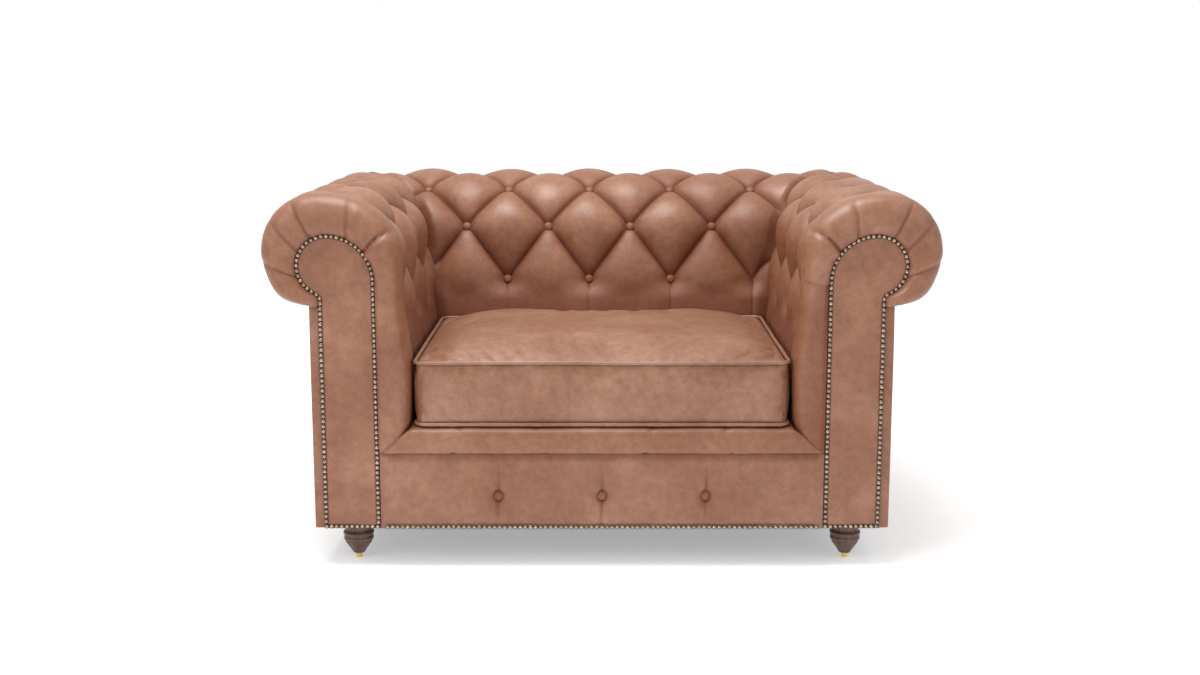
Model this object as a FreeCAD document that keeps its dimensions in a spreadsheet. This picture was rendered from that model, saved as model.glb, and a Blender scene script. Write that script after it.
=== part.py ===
"""A wide armchair with rolled arms, buttoned leather and one loose seat cushion.

Millimetres. +Z is up, the chair faces -Y, and +X is on the right of someone who looks at its front.
The origin is on the floor, under the middle of the chair. Left and right are that person's too.
"""
import FreeCAD, Part
import Sketcher
import math
import os

from FreeCAD import Placement, Rotation, Vector

doc = FreeCAD.newDocument("armchair")
sheet = doc.addObject("Spreadsheet::Sheet", "sizes")

# ---------------------------------------------------------------- driving dimensions
SIZES = [
    ("overall_width", 1400, "outermost points of the two arm rolls"),
    ("overall_depth", 970, "front of the arms to the back of the back roll"),
    ("overall_height", 785, "floor to the top of the rolls"),
    ("arm_width", 300, "inside face of an arm to its outermost point"),
    ("back_thickness", 335, "front face of the back, at the seat, to its rearmost point"),
    ("roll_overhang", 98, "how far a roll stands out past the outside panel"),
    ("roll_radius", 115, "outer half of every roll"),
    ("arm_inner_radius", 145, "inner half of the arm roll"),
    ("back_inner_radius", 175, "inner half of the back roll"),
    ("arm_crest_width", 10, "flat between the two halves of the arm roll"),
    ("back_crest_width", 15, "flat between the two halves of the back roll"),
    ("lean_start", 440, "height where the inside faces begin to lean outwards"),
    ("base_height", 84, "floor to the lower edge of the leather"),
    ("leather", 3, "leather with its wadding"),
    ("tuck_height", 258, "lower edge of the inside leather, and underside of the seat deck"),
    ("rail_height", 168, "depth of the seat rails"),
    ("rail_board", 28, "thickness of the seat rails"),
    ("post_width", 45, "side of a square post"),
    ("dust_cloth", 2, "cloth under the seat"),
    ("outside_board", 4, "outside panels"),
    ("pad_behind_buttons", 8, "foam left between a pulled-in button and the boards"),
    ("webbing_gauge", 3, "jute webbing"),
    ("webbing_width", 50, "jute webbing"),
    ("webbing_pitch", 120, "least distance between webbing strips"),
    ("top_rail_width", 170, "board inside each arm roll"),
    ("back_rail_width", 212, "board inside the back roll"),
    ("top_rail_board", 27, "thickness of those boards"),
    ("top_rail_drop", 130, "top of the roll down to the top of the board"),
    ("tack_rail_width", 25, "rail at the foot of the inside webbing"),
    ("tack_rail_height", 36, "the same"),
    ("facing_board", 22, "arm facing board"),
    ("facing_recess", 10, "front of the arm padding back to the facing leather"),
    ("ring_width", 63.5, "arm inside face to the edge of the facing"),
    ("facing_setback", 19, "outside panel to the edge of the facing"),
    ("facing_drop", 80, "top of the arm down to the top of the facing"),
    ("scroll_inset", 138, "outermost point of the arm in to the middle of the scroll"),
    ("scroll_radius", 67, "round head of the facing, outer half"),
    ("neck_radius", 9, "hollow under the round head"),
    ("nail_setback", 5, "edge of the facing to the nail row"),
    ("nail_radius", 5, "domed nail head"),
    ("nail_dome", 3.2, "height of the head"),
    ("nail_shank", 13, "length of the shank"),
    ("nail_gauge", 2, "thickness of the shank"),
    ("nail_pitch", 10.7, "distance between nails"),
    ("lip_bottom", 244, "seam between the front lip and the front panel"),
    ("lip_top", 302, "top of the front lip"),
    ("lip_depth", 85, "front to back"),
    ("panel_recess", 4, "front of the lip back to the front panel"),
    ("panel_button_pitch", 217, "three buttons on the front panel"),
    ("panel_button_height", 154, "floor to those buttons"),
    ("panel_button_sink", 8, "how deep those buttons pull"),
    ("deck_top", 302, "top of the seat deck"),
    ("button_radius", 11, "covered button"),
    ("button_thickness", 7, "covered button"),
    ("tuft_sink", 26, "how deep the other buttons pull"),
    ("back_column_pitch", 202, "buttons of one row on the back"),
    ("back_column_shift", 70, "how far the back's button pattern stands off the middle"),
    ("arm_column_pitch", 202, "buttons of one row on an arm"),
    ("arm_first_column", 128, "front of the arm to the first button of the lowest row"),
    ("low_row_height", 529, "floor to the lowest row of buttons"),
    ("row_step", 134, "along the leather from one row to the next"),
    ("spring_wire", 2, "radius of the spring wire"),
    ("spring_half_width", 26, "half the width of a sinuous spring"),
    ("spring_bend", 12.5, "radius of its bends"),
    ("spring_pitch", 160, "distance between springs"),
    ("foot_inset", 80, "foot centre in from the outside panel, both ways"),
    ("foot_bottom", 12, "floor to the wood of the foot"),
    ("foot_tip", 12.3, "radius of the wood at the bottom"),
    ("foot_cone", 28.3, "radius at the top of the lower cone"),
    ("foot_bulge", 33, "radius of the bulge and of the ring above it"),
    ("foot_groove", 30.5, "radius of the groove and of the neck"),
    ("glide_radius", 6.4, "brass stud under a foot"),
    ("glide_pin", 3, "radius of its pin"),
    ("glide_pin_length", 18, "length of its pin"),
    ("bolt_radius", 4, "foot bolt"),
    ("bolt_half_length", 40, "half of the foot bolt, in the foot and in the block"),
    ("block_leg", 95, "corner block, along each rail"),
    ("block_height", 45, "corner block"),
    ("cushion_gap_side", 12, "arm to the cushion"),
    ("cushion_gap_back", 10, "back to the cushion"),
    ("cushion_setback", 15, "front of the arms back to the front of the cushion"),
    ("cushion_rest", 0.5, "deck to the cushion"),
    ("cushion_border", 134, "cushion edge"),
    ("cushion_crown", 20, "how far the middle of the cushion stands over its edge"),
    ("cushion_corner", 22, "corner radius seen from above"),
    ("piping_radius", 4, "cord in the cushion's seams"),
    ("zip_length", 640, "zip in the rear border"),
    ("zip_width", 24, "zip tape"),
    ("zip_gauge", 1.5, "zip tape with its teeth"),
    ("slider_length", 12, "zip slider"),
]

for row, (alias, number, meaning) in enumerate(SIZES, start=1):
    sheet.set(f"A{row}", alias)
    sheet.set(f"B{row}", str(number))
    sheet.setAlias(f"B{row}", alias)
    sheet.set(f"C{row}", meaning)
doc.recompute()


def size(alias):
    """The number in one cell of the sheet."""
    return float(sheet.get(alias))


# Expressions that several pieces share.
HALF_WIDTH = "sizes.overall_width / 2"
FRONT = "-sizes.overall_depth / 2"
INSIDE = f"({HALF_WIDTH} - sizes.arm_width)"
PANEL = f"({HALF_WIDTH} - sizes.roll_overhang)"
BACK_FACE = "(sizes.overall_depth / 2 - sizes.back_thickness)"
BACK_PANEL = "(sizes.overall_depth / 2 - sizes.roll_overhang)"
FACING_FRONT = f"({FRONT} + sizes.facing_recess)"
BOARD_FRONT = f"({FACING_FRONT} + sizes.leather)"
FRAME_FRONT = f"({BOARD_FRONT} + sizes.facing_board)"
FRAME_BACK = f"({BACK_PANEL} - sizes.outside_board)"
FRAME_SIDE = f"({PANEL} - sizes.outside_board)"
POST_INNER = f"({FRAME_SIDE} - sizes.post_width)"
POST_BEHIND = f"({FRAME_FRONT} + sizes.post_width)"
POST_AHEAD = f"({FRAME_BACK} - sizes.post_width)"
RAIL_BOTTOM = "(sizes.base_height + sizes.dust_cloth)"
RAIL_TOP = f"({RAIL_BOTTOM} + sizes.rail_height)"
TOP_BOARD_TOP = "(sizes.overall_height - sizes.top_rail_drop)"
TOP_BOARD_BOTTOM = f"({TOP_BOARD_TOP} - sizes.top_rail_board)"
PAD_DEPTH = "(sizes.leather + sizes.tuft_sink + sizes.pad_behind_buttons)"
ARM_NECK = (f"({HALF_WIDTH} - sizes.roll_radius - sizes.arm_crest_width"
            " - sizes.arm_inner_radius)")
BACK_NECK = ("(sizes.overall_depth / 2 - sizes.roll_radius - sizes.back_crest_width"
             " - sizes.back_inner_radius)")
PAD_BACK = f"({ARM_NECK} + {PAD_DEPTH})"
BACK_PAD_BACK = f"({BACK_NECK} + {PAD_DEPTH})"
TACK_SIDE = f"({PAD_BACK} + sizes.webbing_gauge)"
TACK_BACK = f"({BACK_PAD_BACK} + sizes.webbing_gauge)"
FACING_INNER = f"({INSIDE} + sizes.ring_width)"
FACING_OUTER = f"({PANEL} - sizes.facing_setback)"
FACING_TOP = "(sizes.overall_height - sizes.facing_drop)"
ROLL_TUCK = "(sizes.roll_radius - sizes.roll_overhang)"
PANEL_TOP = (f"(sizes.overall_height - sizes.roll_radius"
             f" - sqrt(sizes.roll_radius * sizes.roll_radius - {ROLL_TUCK} * {ROLL_TUCK}))")
FOOT_SIDE = f"({PANEL} - sizes.foot_inset)"
FOOT_FRONT = f"({FRONT} + sizes.foot_inset)"
FOOT_REAR = f"({BACK_PANEL} - sizes.foot_inset)"
LIP_BACK = f"({FRONT} + sizes.lip_depth)"


def number(expression):
    """What an expression of the sheet comes to."""
    return float(sheet.evalExpression(expression.replace("sizes.", "")))


nodes = []


def as_node(thing, label):
    """Name an object and put it among the pieces that are written out."""
    thing.Label = label
    nodes.append(thing)
    return thing


def shaped(label, shape):
    """A piece whose shape is worked out below from the sheet."""
    feature = doc.addObject("Part::Feature", label)
    feature.Shape = shape
    return as_node(feature, label)


SIDES = [("left", -1), ("right", 1)]


def side_span(sign, inner, outer):
    """Two distances from the middle, as a span along X on the left or on the right."""
    if sign > 0:
        return inner, outer
    return f"-({outer})", f"-({inner})"


# ---------------------------------------------------------------- sketches
def origin_plane(body, role):
    """One of the body's own origin planes."""
    for feature in body.Origin.OriginFeatures:
        if feature.Role == role:
            return feature
    raise ValueError(role)


def sketch_on(body, role, name, offset):
    """A sketch on an origin plane of its body, moved along the plane's normal by an expression."""
    sketch = body.newObject("Sketcher::SketchObject", name)
    sketch.AttachmentSupport = [(origin_plane(body, role), "")]
    sketch.MapMode = "FlatFace"
    sketch.setExpression("AttachmentOffset.Base.z", offset)
    return sketch


def fix_point(sketch, edge, end, place):
    """Hold the end of an edge at a place given as two expressions."""
    for kind, expression in zip(("DistanceX", "DistanceY"), place):
        index = sketch.addConstraint(Sketcher.Constraint(kind, -1, 1, edge, end, number(expression)))
        sketch.setExpression(f"Constraints[{index}]", expression)


def outline(sketch, corners, arcs=None):
    """A closed outline through the corners. arcs gives (radius, turn) for the edges that are round.

    Each corner is a pair of expressions. An edge runs from its corner to the next one, and turn is 1
    where it bends to the left and -1 where it bends to the right.
    """
    arcs = arcs or {}
    count = len(corners)
    places = [Vector(number(across), number(up), 0) for across, up in corners]
    ends = []
    for index, start in enumerate(places):
        finish = places[(index + 1) % count]
        if index not in arcs:
            edge = sketch.addGeometry(Part.LineSegment(start, finish), False)
            ends.append((edge, 1, 2))
            continue
        radius_expression, turn = arcs[index]
        radius = number(radius_expression)
        chord = finish - start
        normal = Vector(-chord.y, chord.x, 0).normalize() * turn
        reach = math.sqrt(max(radius ** 2 - chord.Length ** 2 / 4, 0))
        middle = start + chord * 0.5 + normal * reach
        angles = [math.atan2(p.y - middle.y, p.x - middle.x) for p in (start, finish)]
        if turn < 0:
            angles.reverse()
        circle = Part.Circle(middle, Vector(0, 0, 1), radius)
        edge = sketch.addGeometry(Part.ArcOfCircle(circle, *angles), False)
        held = sketch.addConstraint(Sketcher.Constraint("Radius", edge, radius))
        sketch.setExpression(f"Constraints[{held}]", radius_expression)
        ends.append((edge, 1, 2) if turn > 0 else (edge, 2, 1))
    for index in range(count):
        edge, _, last = ends[index]
        following, first, _ = ends[(index + 1) % count]
        sketch.addConstraint(Sketcher.Constraint("Coincident", edge, last, following, first))
    for (edge, first, _), place in zip(ends, corners):
        fix_point(sketch, edge, first, place)


def rectangle(sketch, across, up):
    """A rectangle from two spans of expressions."""
    outline(sketch, [(across[0], up[0]), (across[1], up[0]), (across[1], up[1]), (across[0], up[1])])


def padded_body(label, role, offset, length, draw):
    """A PartDesign body with one outline, padded along the normal of its plane."""
    body = doc.addObject("PartDesign::Body", label)
    sketch = sketch_on(body, role, f"{label}_outline", offset)
    draw(sketch)
    pad = body.newObject("PartDesign::Pad", f"{label}_pad")
    pad.Profile = sketch
    pad.setExpression("Length", length)
    return body


def board(label, across, along, up):
    """A sawn board: spans along X, Y and Z."""
    length = f"({up[1]}) - ({up[0]})"
    body = padded_body(label, "XY_Plane", up[0], length, lambda sketch: rectangle(sketch, across, along))
    return as_node(body, label)


# ---------------------------------------------------------------- frame
def seat_frame():
    """Four rails between four square posts, with the posts running up to the top boards."""
    between = (f"-{POST_INNER}", POST_INNER)
    rail = (RAIL_BOTTOM, RAIL_TOP)
    board("front_rail", between, (FRAME_FRONT, f"{FRAME_FRONT} + sizes.rail_board"), rail)
    board("back_rail", between, (f"{FRAME_BACK} - sizes.rail_board", FRAME_BACK), rail)
    post = (RAIL_BOTTOM, TOP_BOARD_BOTTOM)
    for side, sign in SIDES:
        rail_span = side_span(sign, f"{FRAME_SIDE} - sizes.rail_board", FRAME_SIDE)
        post_span = side_span(sign, POST_INNER, FRAME_SIDE)
        board(f"{side}_side_rail", rail_span, (POST_BEHIND, POST_AHEAD), rail)
        board(f"{side}_front_post", post_span, (FRAME_FRONT, POST_BEHIND), post)
        board(f"{side}_back_post", post_span, (POST_AHEAD, FRAME_BACK), post)
    middle = ("-sizes.post_width / 2", "sizes.post_width / 2")
    board("back_centre_upright", middle, (f"{FRAME_BACK} - sizes.rail_board", FRAME_BACK),
          (RAIL_TOP, TOP_BOARD_BOTTOM))


def top_boards():
    """The boards that the rolls are built on, and the tack rails at the foot of the inside faces."""
    level = (TOP_BOARD_BOTTOM, TOP_BOARD_TOP)
    rear = f"{TACK_BACK} + sizes.back_rail_width"
    for side, sign in SIDES:
        span = side_span(sign, TACK_SIDE, f"{TACK_SIDE} + sizes.top_rail_width")
        board(f"{side}_arm_rail", span, (FRAME_FRONT, rear), level)
        span = side_span(sign, TACK_SIDE, f"{TACK_SIDE} + sizes.tack_rail_width")
        top = f"{RAIL_TOP} + sizes.tack_rail_height"
        board(f"{side}_arm_tack_rail", span, (FRAME_FRONT, FRAME_BACK), (RAIL_TOP, top))
    between = (f"-{TACK_SIDE}", TACK_SIDE)
    board("back_top_rail", between, (TACK_BACK, rear), level)
    lift = f"sizes.tuck_height + sizes.spring_wire"
    board("back_tack_rail", between, (TACK_BACK, f"{TACK_BACK} + sizes.tack_rail_width"),
          (lift, f"{lift} + sizes.tack_rail_height"))


def facing_outline(sketch, sign):
    """The keyhole of an arm facing: a straight stem under a round head that leans outwards."""
    flip = "" if sign > 0 else "-"
    scroll = f"({HALF_WIDTH} - sizes.scroll_inset)"
    head = f"({scroll} - {FACING_INNER})"
    reach = f"({FACING_OUTER} + sizes.neck_radius - {scroll})"
    span = "(sizes.scroll_radius + sizes.neck_radius)"
    fall = f"sqrt({span} * {span} - {reach} * {reach})"
    centre_height = f"({FACING_TOP} - sizes.scroll_radius)"
    touch = f"sizes.scroll_radius / {span}"
    corners = [
        (FACING_INNER, "sizes.base_height"),
        (FACING_OUTER, "sizes.base_height"),
        (FACING_OUTER, f"{centre_height} - {fall}"),
        (f"{scroll} + {reach} * {touch}", f"{centre_height} - {fall} * {touch}"),
        (scroll, FACING_TOP),
        (FACING_INNER, f"{FACING_TOP} - {head}"),
    ]
    corners = [(f"{flip}({across})", up) for across, up in corners]
    arcs = {2: ("sizes.neck_radius", -sign), 3: ("sizes.scroll_radius", sign), 4: (head, sign)}
    outline(sketch, corners, arcs)


def facings():
    """A keyhole board and its leather on the front of each arm."""
    for side, sign in SIDES:
        for name, back, gauge in (("facing_board", FRAME_FRONT, "sizes.facing_board"),
                                  ("facing_cover", BOARD_FRONT, "sizes.leather")):
            label = f"{side}_{name}"
            body = padded_body(label, "XZ_Plane", f"-({back})", gauge,
                               lambda sketch, sign=sign: facing_outline(sketch, sign))
            as_node(body, label)


# ---------------------------------------------------------------- padding and leather
def roll_section(face, roll_middle, crest, inner_radius, panel, bottom, inset):
    """The closed section of a padded side, as a face in the XZ plane.

    It rises straight at face, leans out until it meets the inner half of the roll, goes over the crest
    and comes down the outer half until it meets the panel. inset moves the leather side of it inwards.
    """
    top = size("overall_height")
    start = Vector(face, 0, size("lean_start"))
    inner = Vector(roll_middle - crest, 0, top - inner_radius)
    outer = Vector(roll_middle, 0, top - size("roll_radius"))
    away = start - inner
    bearing = math.atan2(away.z, away.x) - math.acos(inner_radius / away.Length)
    inner_reach = inner_radius - inset
    outer_reach = size("roll_radius") - inset

    def around(middle, reach, angle):
        return middle + Vector(math.cos(angle), 0, math.sin(angle)) * reach

    foot = -math.acos((panel - roll_middle) / outer_reach)
    touch = around(inner, inner_reach, bearing)
    halfway = around(inner, inner_reach, (bearing % (2 * math.pi) + math.pi / 2) / 2)
    crest_in = around(inner, inner_reach, math.pi / 2)
    crest_out = around(outer, outer_reach, math.pi / 2)
    shoulder = around(outer, outer_reach, (foot + math.pi / 2) / 2)
    end = around(outer, outer_reach, foot)
    low = Vector(face + inset, 0, bottom)
    bend = Vector(face + inset, 0, size("lean_start"))
    edges = [
        Part.makeLine(low, bend),
        Part.makeLine(bend, touch),
        Part.Arc(touch, halfway, crest_in).toShape(),
        Part.makeLine(crest_in, crest_out),
        Part.Arc(crest_out, shoulder, end).toShape(),
        Part.makeLine(end, Vector(panel, 0, bottom)),
        Part.makeLine(Vector(panel, 0, bottom), low),
    ]
    return Part.Face(Part.Wire(edges))


def arm_section(inset, bottom):
    """Section of the right arm."""
    return roll_section(number(INSIDE), number(HALF_WIDTH) - size("roll_radius"), size("arm_crest_width"),
                        size("arm_inner_radius"), number(PANEL), bottom, inset)


def back_section(inset, bottom):
    """Section of the back, turned so that it runs along X."""
    half_depth = size("overall_depth") / 2
    section = roll_section(number(BACK_FACE), half_depth - size("roll_radius"), size("back_crest_width"),
                           size("back_inner_radius"), number(BACK_PANEL), bottom, inset)
    return section.rotate(Vector(), Vector(0, 0, 1), 90)


def block(across, along, up):
    """A box from three spans of numbers."""
    corner = Vector(across[0], along[0], up[0])
    return Part.makeBox(across[1] - across[0], along[1] - along[0], up[1] - up[0], corner)


def column(points, low, high):
    """A prism that stands on a polygon given in X and Y."""
    corners = [Vector(x, y, low) for x, y in points]
    return Part.Face(Part.makePolygon(corners + corners[:1])).extrude(Vector(0, 0, high - low))


def mitre_x(y):
    """Where the mitre between the right arm and the back is, at a given y."""
    inside = number(INSIDE)
    face = number(BACK_FACE)
    slope = size("arm_width") / size("back_thickness")
    return inside + (y - face) * slope


BEYOND = 30
HIGH = size("overall_height") + BEYOND


def arm_zone():
    """Everything in front of the mitre, on the right."""
    front = number(FRONT) - BEYOND
    near = number(BACK_FACE) - BEYOND
    far = size("overall_depth") / 2 + BEYOND
    return column([(mitre_x(near), front), (mitre_x(far), front), (mitre_x(far), far), (mitre_x(near), near)],
                  0, HIGH)


def back_zone():
    """Everything between the two mitres."""
    near = number(BACK_FACE) - BEYOND
    far = size("overall_depth") / 2 + BEYOND
    return column([(-mitre_x(near), near), (mitre_x(near), near), (mitre_x(far), far), (-mitre_x(far), far)],
                  0, HIGH)


def lip_prism(inset, back):
    """The mitred front lip: wide at its lower seam, narrow on top."""
    wide = number(FACING_INNER)
    narrow = number(INSIDE)
    low = size("lip_bottom")
    high = size("lip_top") - inset
    front = number(FRONT) + inset
    slope = (wide - narrow) / (size("lip_top") - low)
    ends = wide - (high - low) * slope
    corners = [Vector(-wide, front, low), Vector(wide, front, low), Vector(ends, front, high),
               Vector(-ends, front, high)]
    return Part.Face(Part.makePolygon(corners + corners[:1])).extrude(Vector(0, back - front, 0))


def facing_prism(sign, front, back):
    """The room that a facing takes, from one depth to another."""
    cover = next(node for node in nodes if node.Label == ("right" if sign > 0 else "left") + "_facing_cover")
    front_face = min(cover.Shape.Faces, key=lambda face: face.CenterOfMass.y)
    room = front_face.copy()
    room.translate(Vector(0, front - front_face.CenterOfMass.y, 0))
    return room.extrude(Vector(0, back - front, 0))


def on_side(shape, sign):
    """The shape of the right side, or its mirror image on the left."""
    return shape if sign > 0 else shape.mirror(Vector(), Vector(1, 0, 0))


def arm_upholstery():
    """Inside pad, roll pad and leather of both arms."""
    front = number(FRONT)
    far = size("overall_depth") / 2 + BEYOND
    leather = size("leather")
    tuck = size("tuck_height")
    board_top = number(TOP_BOARD_TOP)
    board_bottom = number(TOP_BOARD_BOTTOM)
    pad_front = front + leather
    pad_back = number(PAD_BACK)
    panel = number(PANEL)
    zone = arm_zone()
    lip = lip_prism(0, number(LIP_BACK))

    def stretch(section, start, finish):
        section.translate(Vector(0, start, 0))
        return section.extrude(Vector(0, finish - start, 0))

    core = stretch(arm_section(leather, tuck), pad_front, far).common(zone)
    facing = facing_prism(1, pad_front - 1, number(FRAME_FRONT))
    inside_room = block((0, pad_back), (front, number(BACK_PAD_BACK)), (tuck, board_top))
    inside_pad = core.common(inside_room).cut(lip).cut(facing)
    rear = number(f"{TACK_BACK} + sizes.back_rail_width")
    board_edge = number(f"{TACK_SIDE} + sizes.top_rail_width")
    below = block((0, panel), (front, far), (0, board_top))
    slot = block((number(TACK_SIDE), board_edge), (front, rear), (board_bottom, board_top))
    roll_pad = core.cut(below).cut(slot).cut(facing)
    skin = stretch(arm_section(0, tuck), front, far).common(zone)
    skin = skin.cut(stretch(arm_section(leather, tuck - BEYOND), pad_front, far))
    ring = stretch(arm_section(0, size("lip_bottom")), front, pad_front)
    stem_side = block((number(FACING_INNER), panel + 1), (front - 1, pad_front), (0, number(PANEL_TOP)))
    cover = skin.fuse(ring).cut(stem_side).cut(facing_prism(1, front - 1, number(FRAME_FRONT))).cut(lip)
    cover = cover.removeSplitter()
    for side, sign in SIDES:
        shaped(f"{side}_arm_inside_pad", on_side(inside_pad, sign))
        shaped(f"{side}_arm_roll_pad", on_side(roll_pad, sign))
        shaped(f"{side}_arm_cover", on_side(cover, sign))


def back_upholstery():
    """Inside pad, roll pad and leather of the back."""
    leather = size("leather")
    tuck = size("tuck_height")
    reach = size("overall_width") / 2 + BEYOND
    board_top = number(TOP_BOARD_TOP)
    zone = back_zone()

    def stretch(section):
        section.translate(Vector(reach, 0, 0))
        return section.extrude(Vector(-2 * reach, 0, 0))

    core = stretch(back_section(leather, tuck)).common(zone)
    front = number(BACK_FACE)
    far = size("overall_depth") / 2
    side = number(PAD_BACK)
    inside_room = block((-side, side), (front, number(BACK_PAD_BACK)), (tuck, board_top))
    shaped("back_inside_pad", core.common(inside_room))
    rear = number(f"{TACK_BACK} + sizes.back_rail_width")
    board_edge = number(f"{TACK_SIDE} + sizes.top_rail_width")
    below = block((-reach, reach), (front, number(BACK_PANEL)), (0, board_top))
    slot = block((-board_edge, board_edge), (number(TACK_BACK), rear), (number(TOP_BOARD_BOTTOM), board_top))
    shaped("back_roll_pad", core.cut(below).cut(slot))
    skin = stretch(back_section(0, tuck)).cut(stretch(back_section(leather, tuck - BEYOND)))
    shaped("back_cover", skin.common(zone).common(block((-reach, reach), (front, far), (0, HIGH))))


def outside_panels():
    """Leather-covered boards outside the arms, turned in beside the facings, and one behind the back."""
    up = ("sizes.base_height", PANEL_TOP)
    height = f"{PANEL_TOP} - {up[0]}"
    turn_in = f"({FACING_FRONT} + sizes.outside_board)"
    for side, sign in SIDES:
        flip = "" if sign > 0 else "-"
        corners = [(f"{flip}{across}", along) for across, along in (
            (FACING_OUTER, FACING_FRONT), (PANEL, FACING_FRONT), (PANEL, BACK_PANEL),
            (FRAME_SIDE, BACK_PANEL), (FRAME_SIDE, turn_in), (FACING_OUTER, turn_in))]
        label = f"{side}_outside_panel"
        body = padded_body(label, "XY_Plane", up[0], height,
                           lambda sketch, corners=corners: outline(sketch, corners))
        as_node(body, label)
    board("back_outside_panel", (f"-{FRAME_SIDE}", FRAME_SIDE), (FRAME_BACK, BACK_PANEL), up)


def front_border():
    """The padded lip under the cushion, and the front panel below it."""
    leather = size("leather")
    back = number(LIP_BACK)
    over_springs = number(RAIL_TOP) + 3 * size("spring_wire")
    half = number(FACING_INNER)
    panel_front = number(FRONT) + size("panel_recess")
    pad_room = block((-half, half), (number(FRONT), back), (over_springs, size("lip_top")))
    inside = lip_prism(leather, back)
    shaped("front_lip_pad", inside.common(pad_room))
    shaped("front_lip_cover", lip_prism(0, back).cut(inside).cut(
        block((-half, half), (number(FRONT) + leather, back), (0, size("lip_bottom") + leather))))
    low = size("base_height")
    high = size("lip_bottom")
    shaped("front_panel_cover", block((-half, half), (panel_front, panel_front + leather), (low, high)))
    shaped("front_panel_pad", block((-half, half), (panel_front + leather, number(FRAME_FRONT)), (low, high)))


# ---------------------------------------------------------------- what carries the seat
def webbing():
    """Jute strips from the tack rails up to the top boards."""
    low = number(f"{RAIL_TOP} + sizes.dust_cloth")
    high = number(TOP_BOARD_TOP)
    width = size("webbing_width")

    def strips(start, finish):
        count = int((finish - start) // size("webbing_pitch"))
        step = (finish - start) / count
        return [start + step * (index + 0.5) for index in range(count)]

    inner = number(PAD_BACK)
    outer = number(TACK_SIDE)
    arm_strips = [
        block(sorted((sign * inner, sign * outer)), (y - width / 2, y + width / 2), (low, high))
        for _, sign in SIDES
        for y in strips(number(FRAME_FRONT), number(BACK_PAD_BACK))
    ]
    shaped("arm_webbing", Part.makeCompound(arm_strips))
    near = number(BACK_PAD_BACK)
    back_low = number("sizes.tuck_height + sizes.spring_wire")
    back_strips = [
        block((x - width / 2, x + width / 2), (near, number(TACK_BACK)), (back_low, high))
        for x in strips(-inner, inner)
    ]
    shaped("back_webbing", Part.makeCompound(back_strips))


def spring_path(x, start, finish, height):
    """Centre line of one sinuous spring: cross runs joined by half circles."""
    bend = size("spring_bend")
    half_run = size("spring_half_width") - bend
    count = int((finish - start) // (2 * bend))
    edges = []
    for turn in range(count + 1):
        y = start + 2 * bend * turn
        side = 1 if turn % 2 == 0 else -1
        edges.append(Part.makeLine(
            Vector(x - side * half_run, y, height), Vector(x + side * half_run, y, height)))
        if turn < count:
            edge = x + side * half_run
            edges.append(Part.Arc(Vector(edge, y, height), Vector(edge + side * bend, y + bend, height),
                                  Vector(edge, y + 2 * bend, height)).toShape())
    return Part.Wire(edges), start + 2 * bend * count


def seat_springs():
    """Sinuous springs from the front rail to the back rail, each end under a clip.

    Their number is even, so that none meets the upright in the middle of the back.
    """
    wire = size("spring_wire")
    height = number(RAIL_TOP) + wire
    start = number(f"{FRAME_FRONT} + sizes.rail_board / 2")
    rear_rail = number(f"{FRAME_BACK} - sizes.rail_board")
    finish = number(FRAME_BACK) - wire
    room = number(INSIDE) + size("spring_half_width")
    count = 2 * round(room / size("spring_pitch"))
    springs = []
    clips = []
    half_run = size("spring_half_width") - size("spring_bend")
    for index in range(count):
        x = (index - (count - 1) / 2) * size("spring_pitch")
        path, last = spring_path(x, start, finish, height)
        profile = Part.Wire(Part.makeCircle(wire, Vector(x - half_run, start, height), Vector(1, 0, 0)))
        springs.append(path.makePipeShell([profile], True, True))
        for y in (start, last):
            behind = max(y - 3 * wire, rear_rail) if y > 0 else y - 3 * wire
            shell = block((x - 4 * wire, x + 4 * wire), (behind, y + 1.6 * wire),
                          (height - wire, height + 1.6 * wire))
            rod = Part.makeCylinder(wire, 10 * wire, Vector(x - 5 * wire, y, height), Vector(1, 0, 0))
            clips.append(shell.cut(rod).cut(block((x - 5 * wire, x + 5 * wire), (y - wire, y + wire),
                                                  (height - 2 * wire, height))))
    shaped("seat_springs", Part.makeCompound(springs))
    shaped("spring_clips", Part.makeCompound(clips))
    half = f"{INSIDE} - 1"
    board("seat_deck", (f"-({half})", half), (LIP_BACK, f"{BACK_FACE} - 1"),
          ("sizes.tuck_height", "sizes.deck_top"))


def corner_blocks():
    """A block in each corner of the seat frame, notched round the post, with a hole for the foot bolt."""
    rail_side = number(f"{FRAME_SIDE} - sizes.rail_board")
    post_side = number(POST_INNER)
    leg = size("block_leg")
    low = number(RAIL_BOTTOM)
    blocks = []
    for rail, post, foot, way in (
            (number(f"{FRAME_FRONT} + sizes.rail_board"), number(POST_BEHIND), number(FOOT_FRONT), 1),
            (number(f"{FRAME_BACK} - sizes.rail_board"), number(POST_AHEAD), number(FOOT_REAR), -1)):
        far = post + way * leg
        near = post_side - leg
        points = [(post_side, rail), (post_side, post), (rail_side, post), (rail_side, far),
                  (rail_side - size("rail_board"), far),
                  (near, rail + way * size("rail_board")), (near, rail)]
        piece = column(points, low, low + size("block_height"))
        hole = Part.makeCylinder(size("bolt_radius"), size("bolt_half_length"),
                                 Vector(number(FOOT_SIDE), foot, low))
        piece = piece.cut(hole)
        blocks += [piece, piece.mirror(Vector(), Vector(1, 0, 0))]
    shaped("corner_blocks", Part.makeCompound(blocks))


# ---------------------------------------------------------------- feet
FOOT_PLACES = [(f"{row}_{side}", sign, row) for row in ("front", "rear") for side, sign in SIDES]


def foot_spot(sign, row):
    """Expressions for the middle of a foot."""
    flip = "" if sign > 0 else "-"
    return f"{flip}{FOOT_SIDE}", FOOT_FRONT if row == "front" else FOOT_REAR


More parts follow.
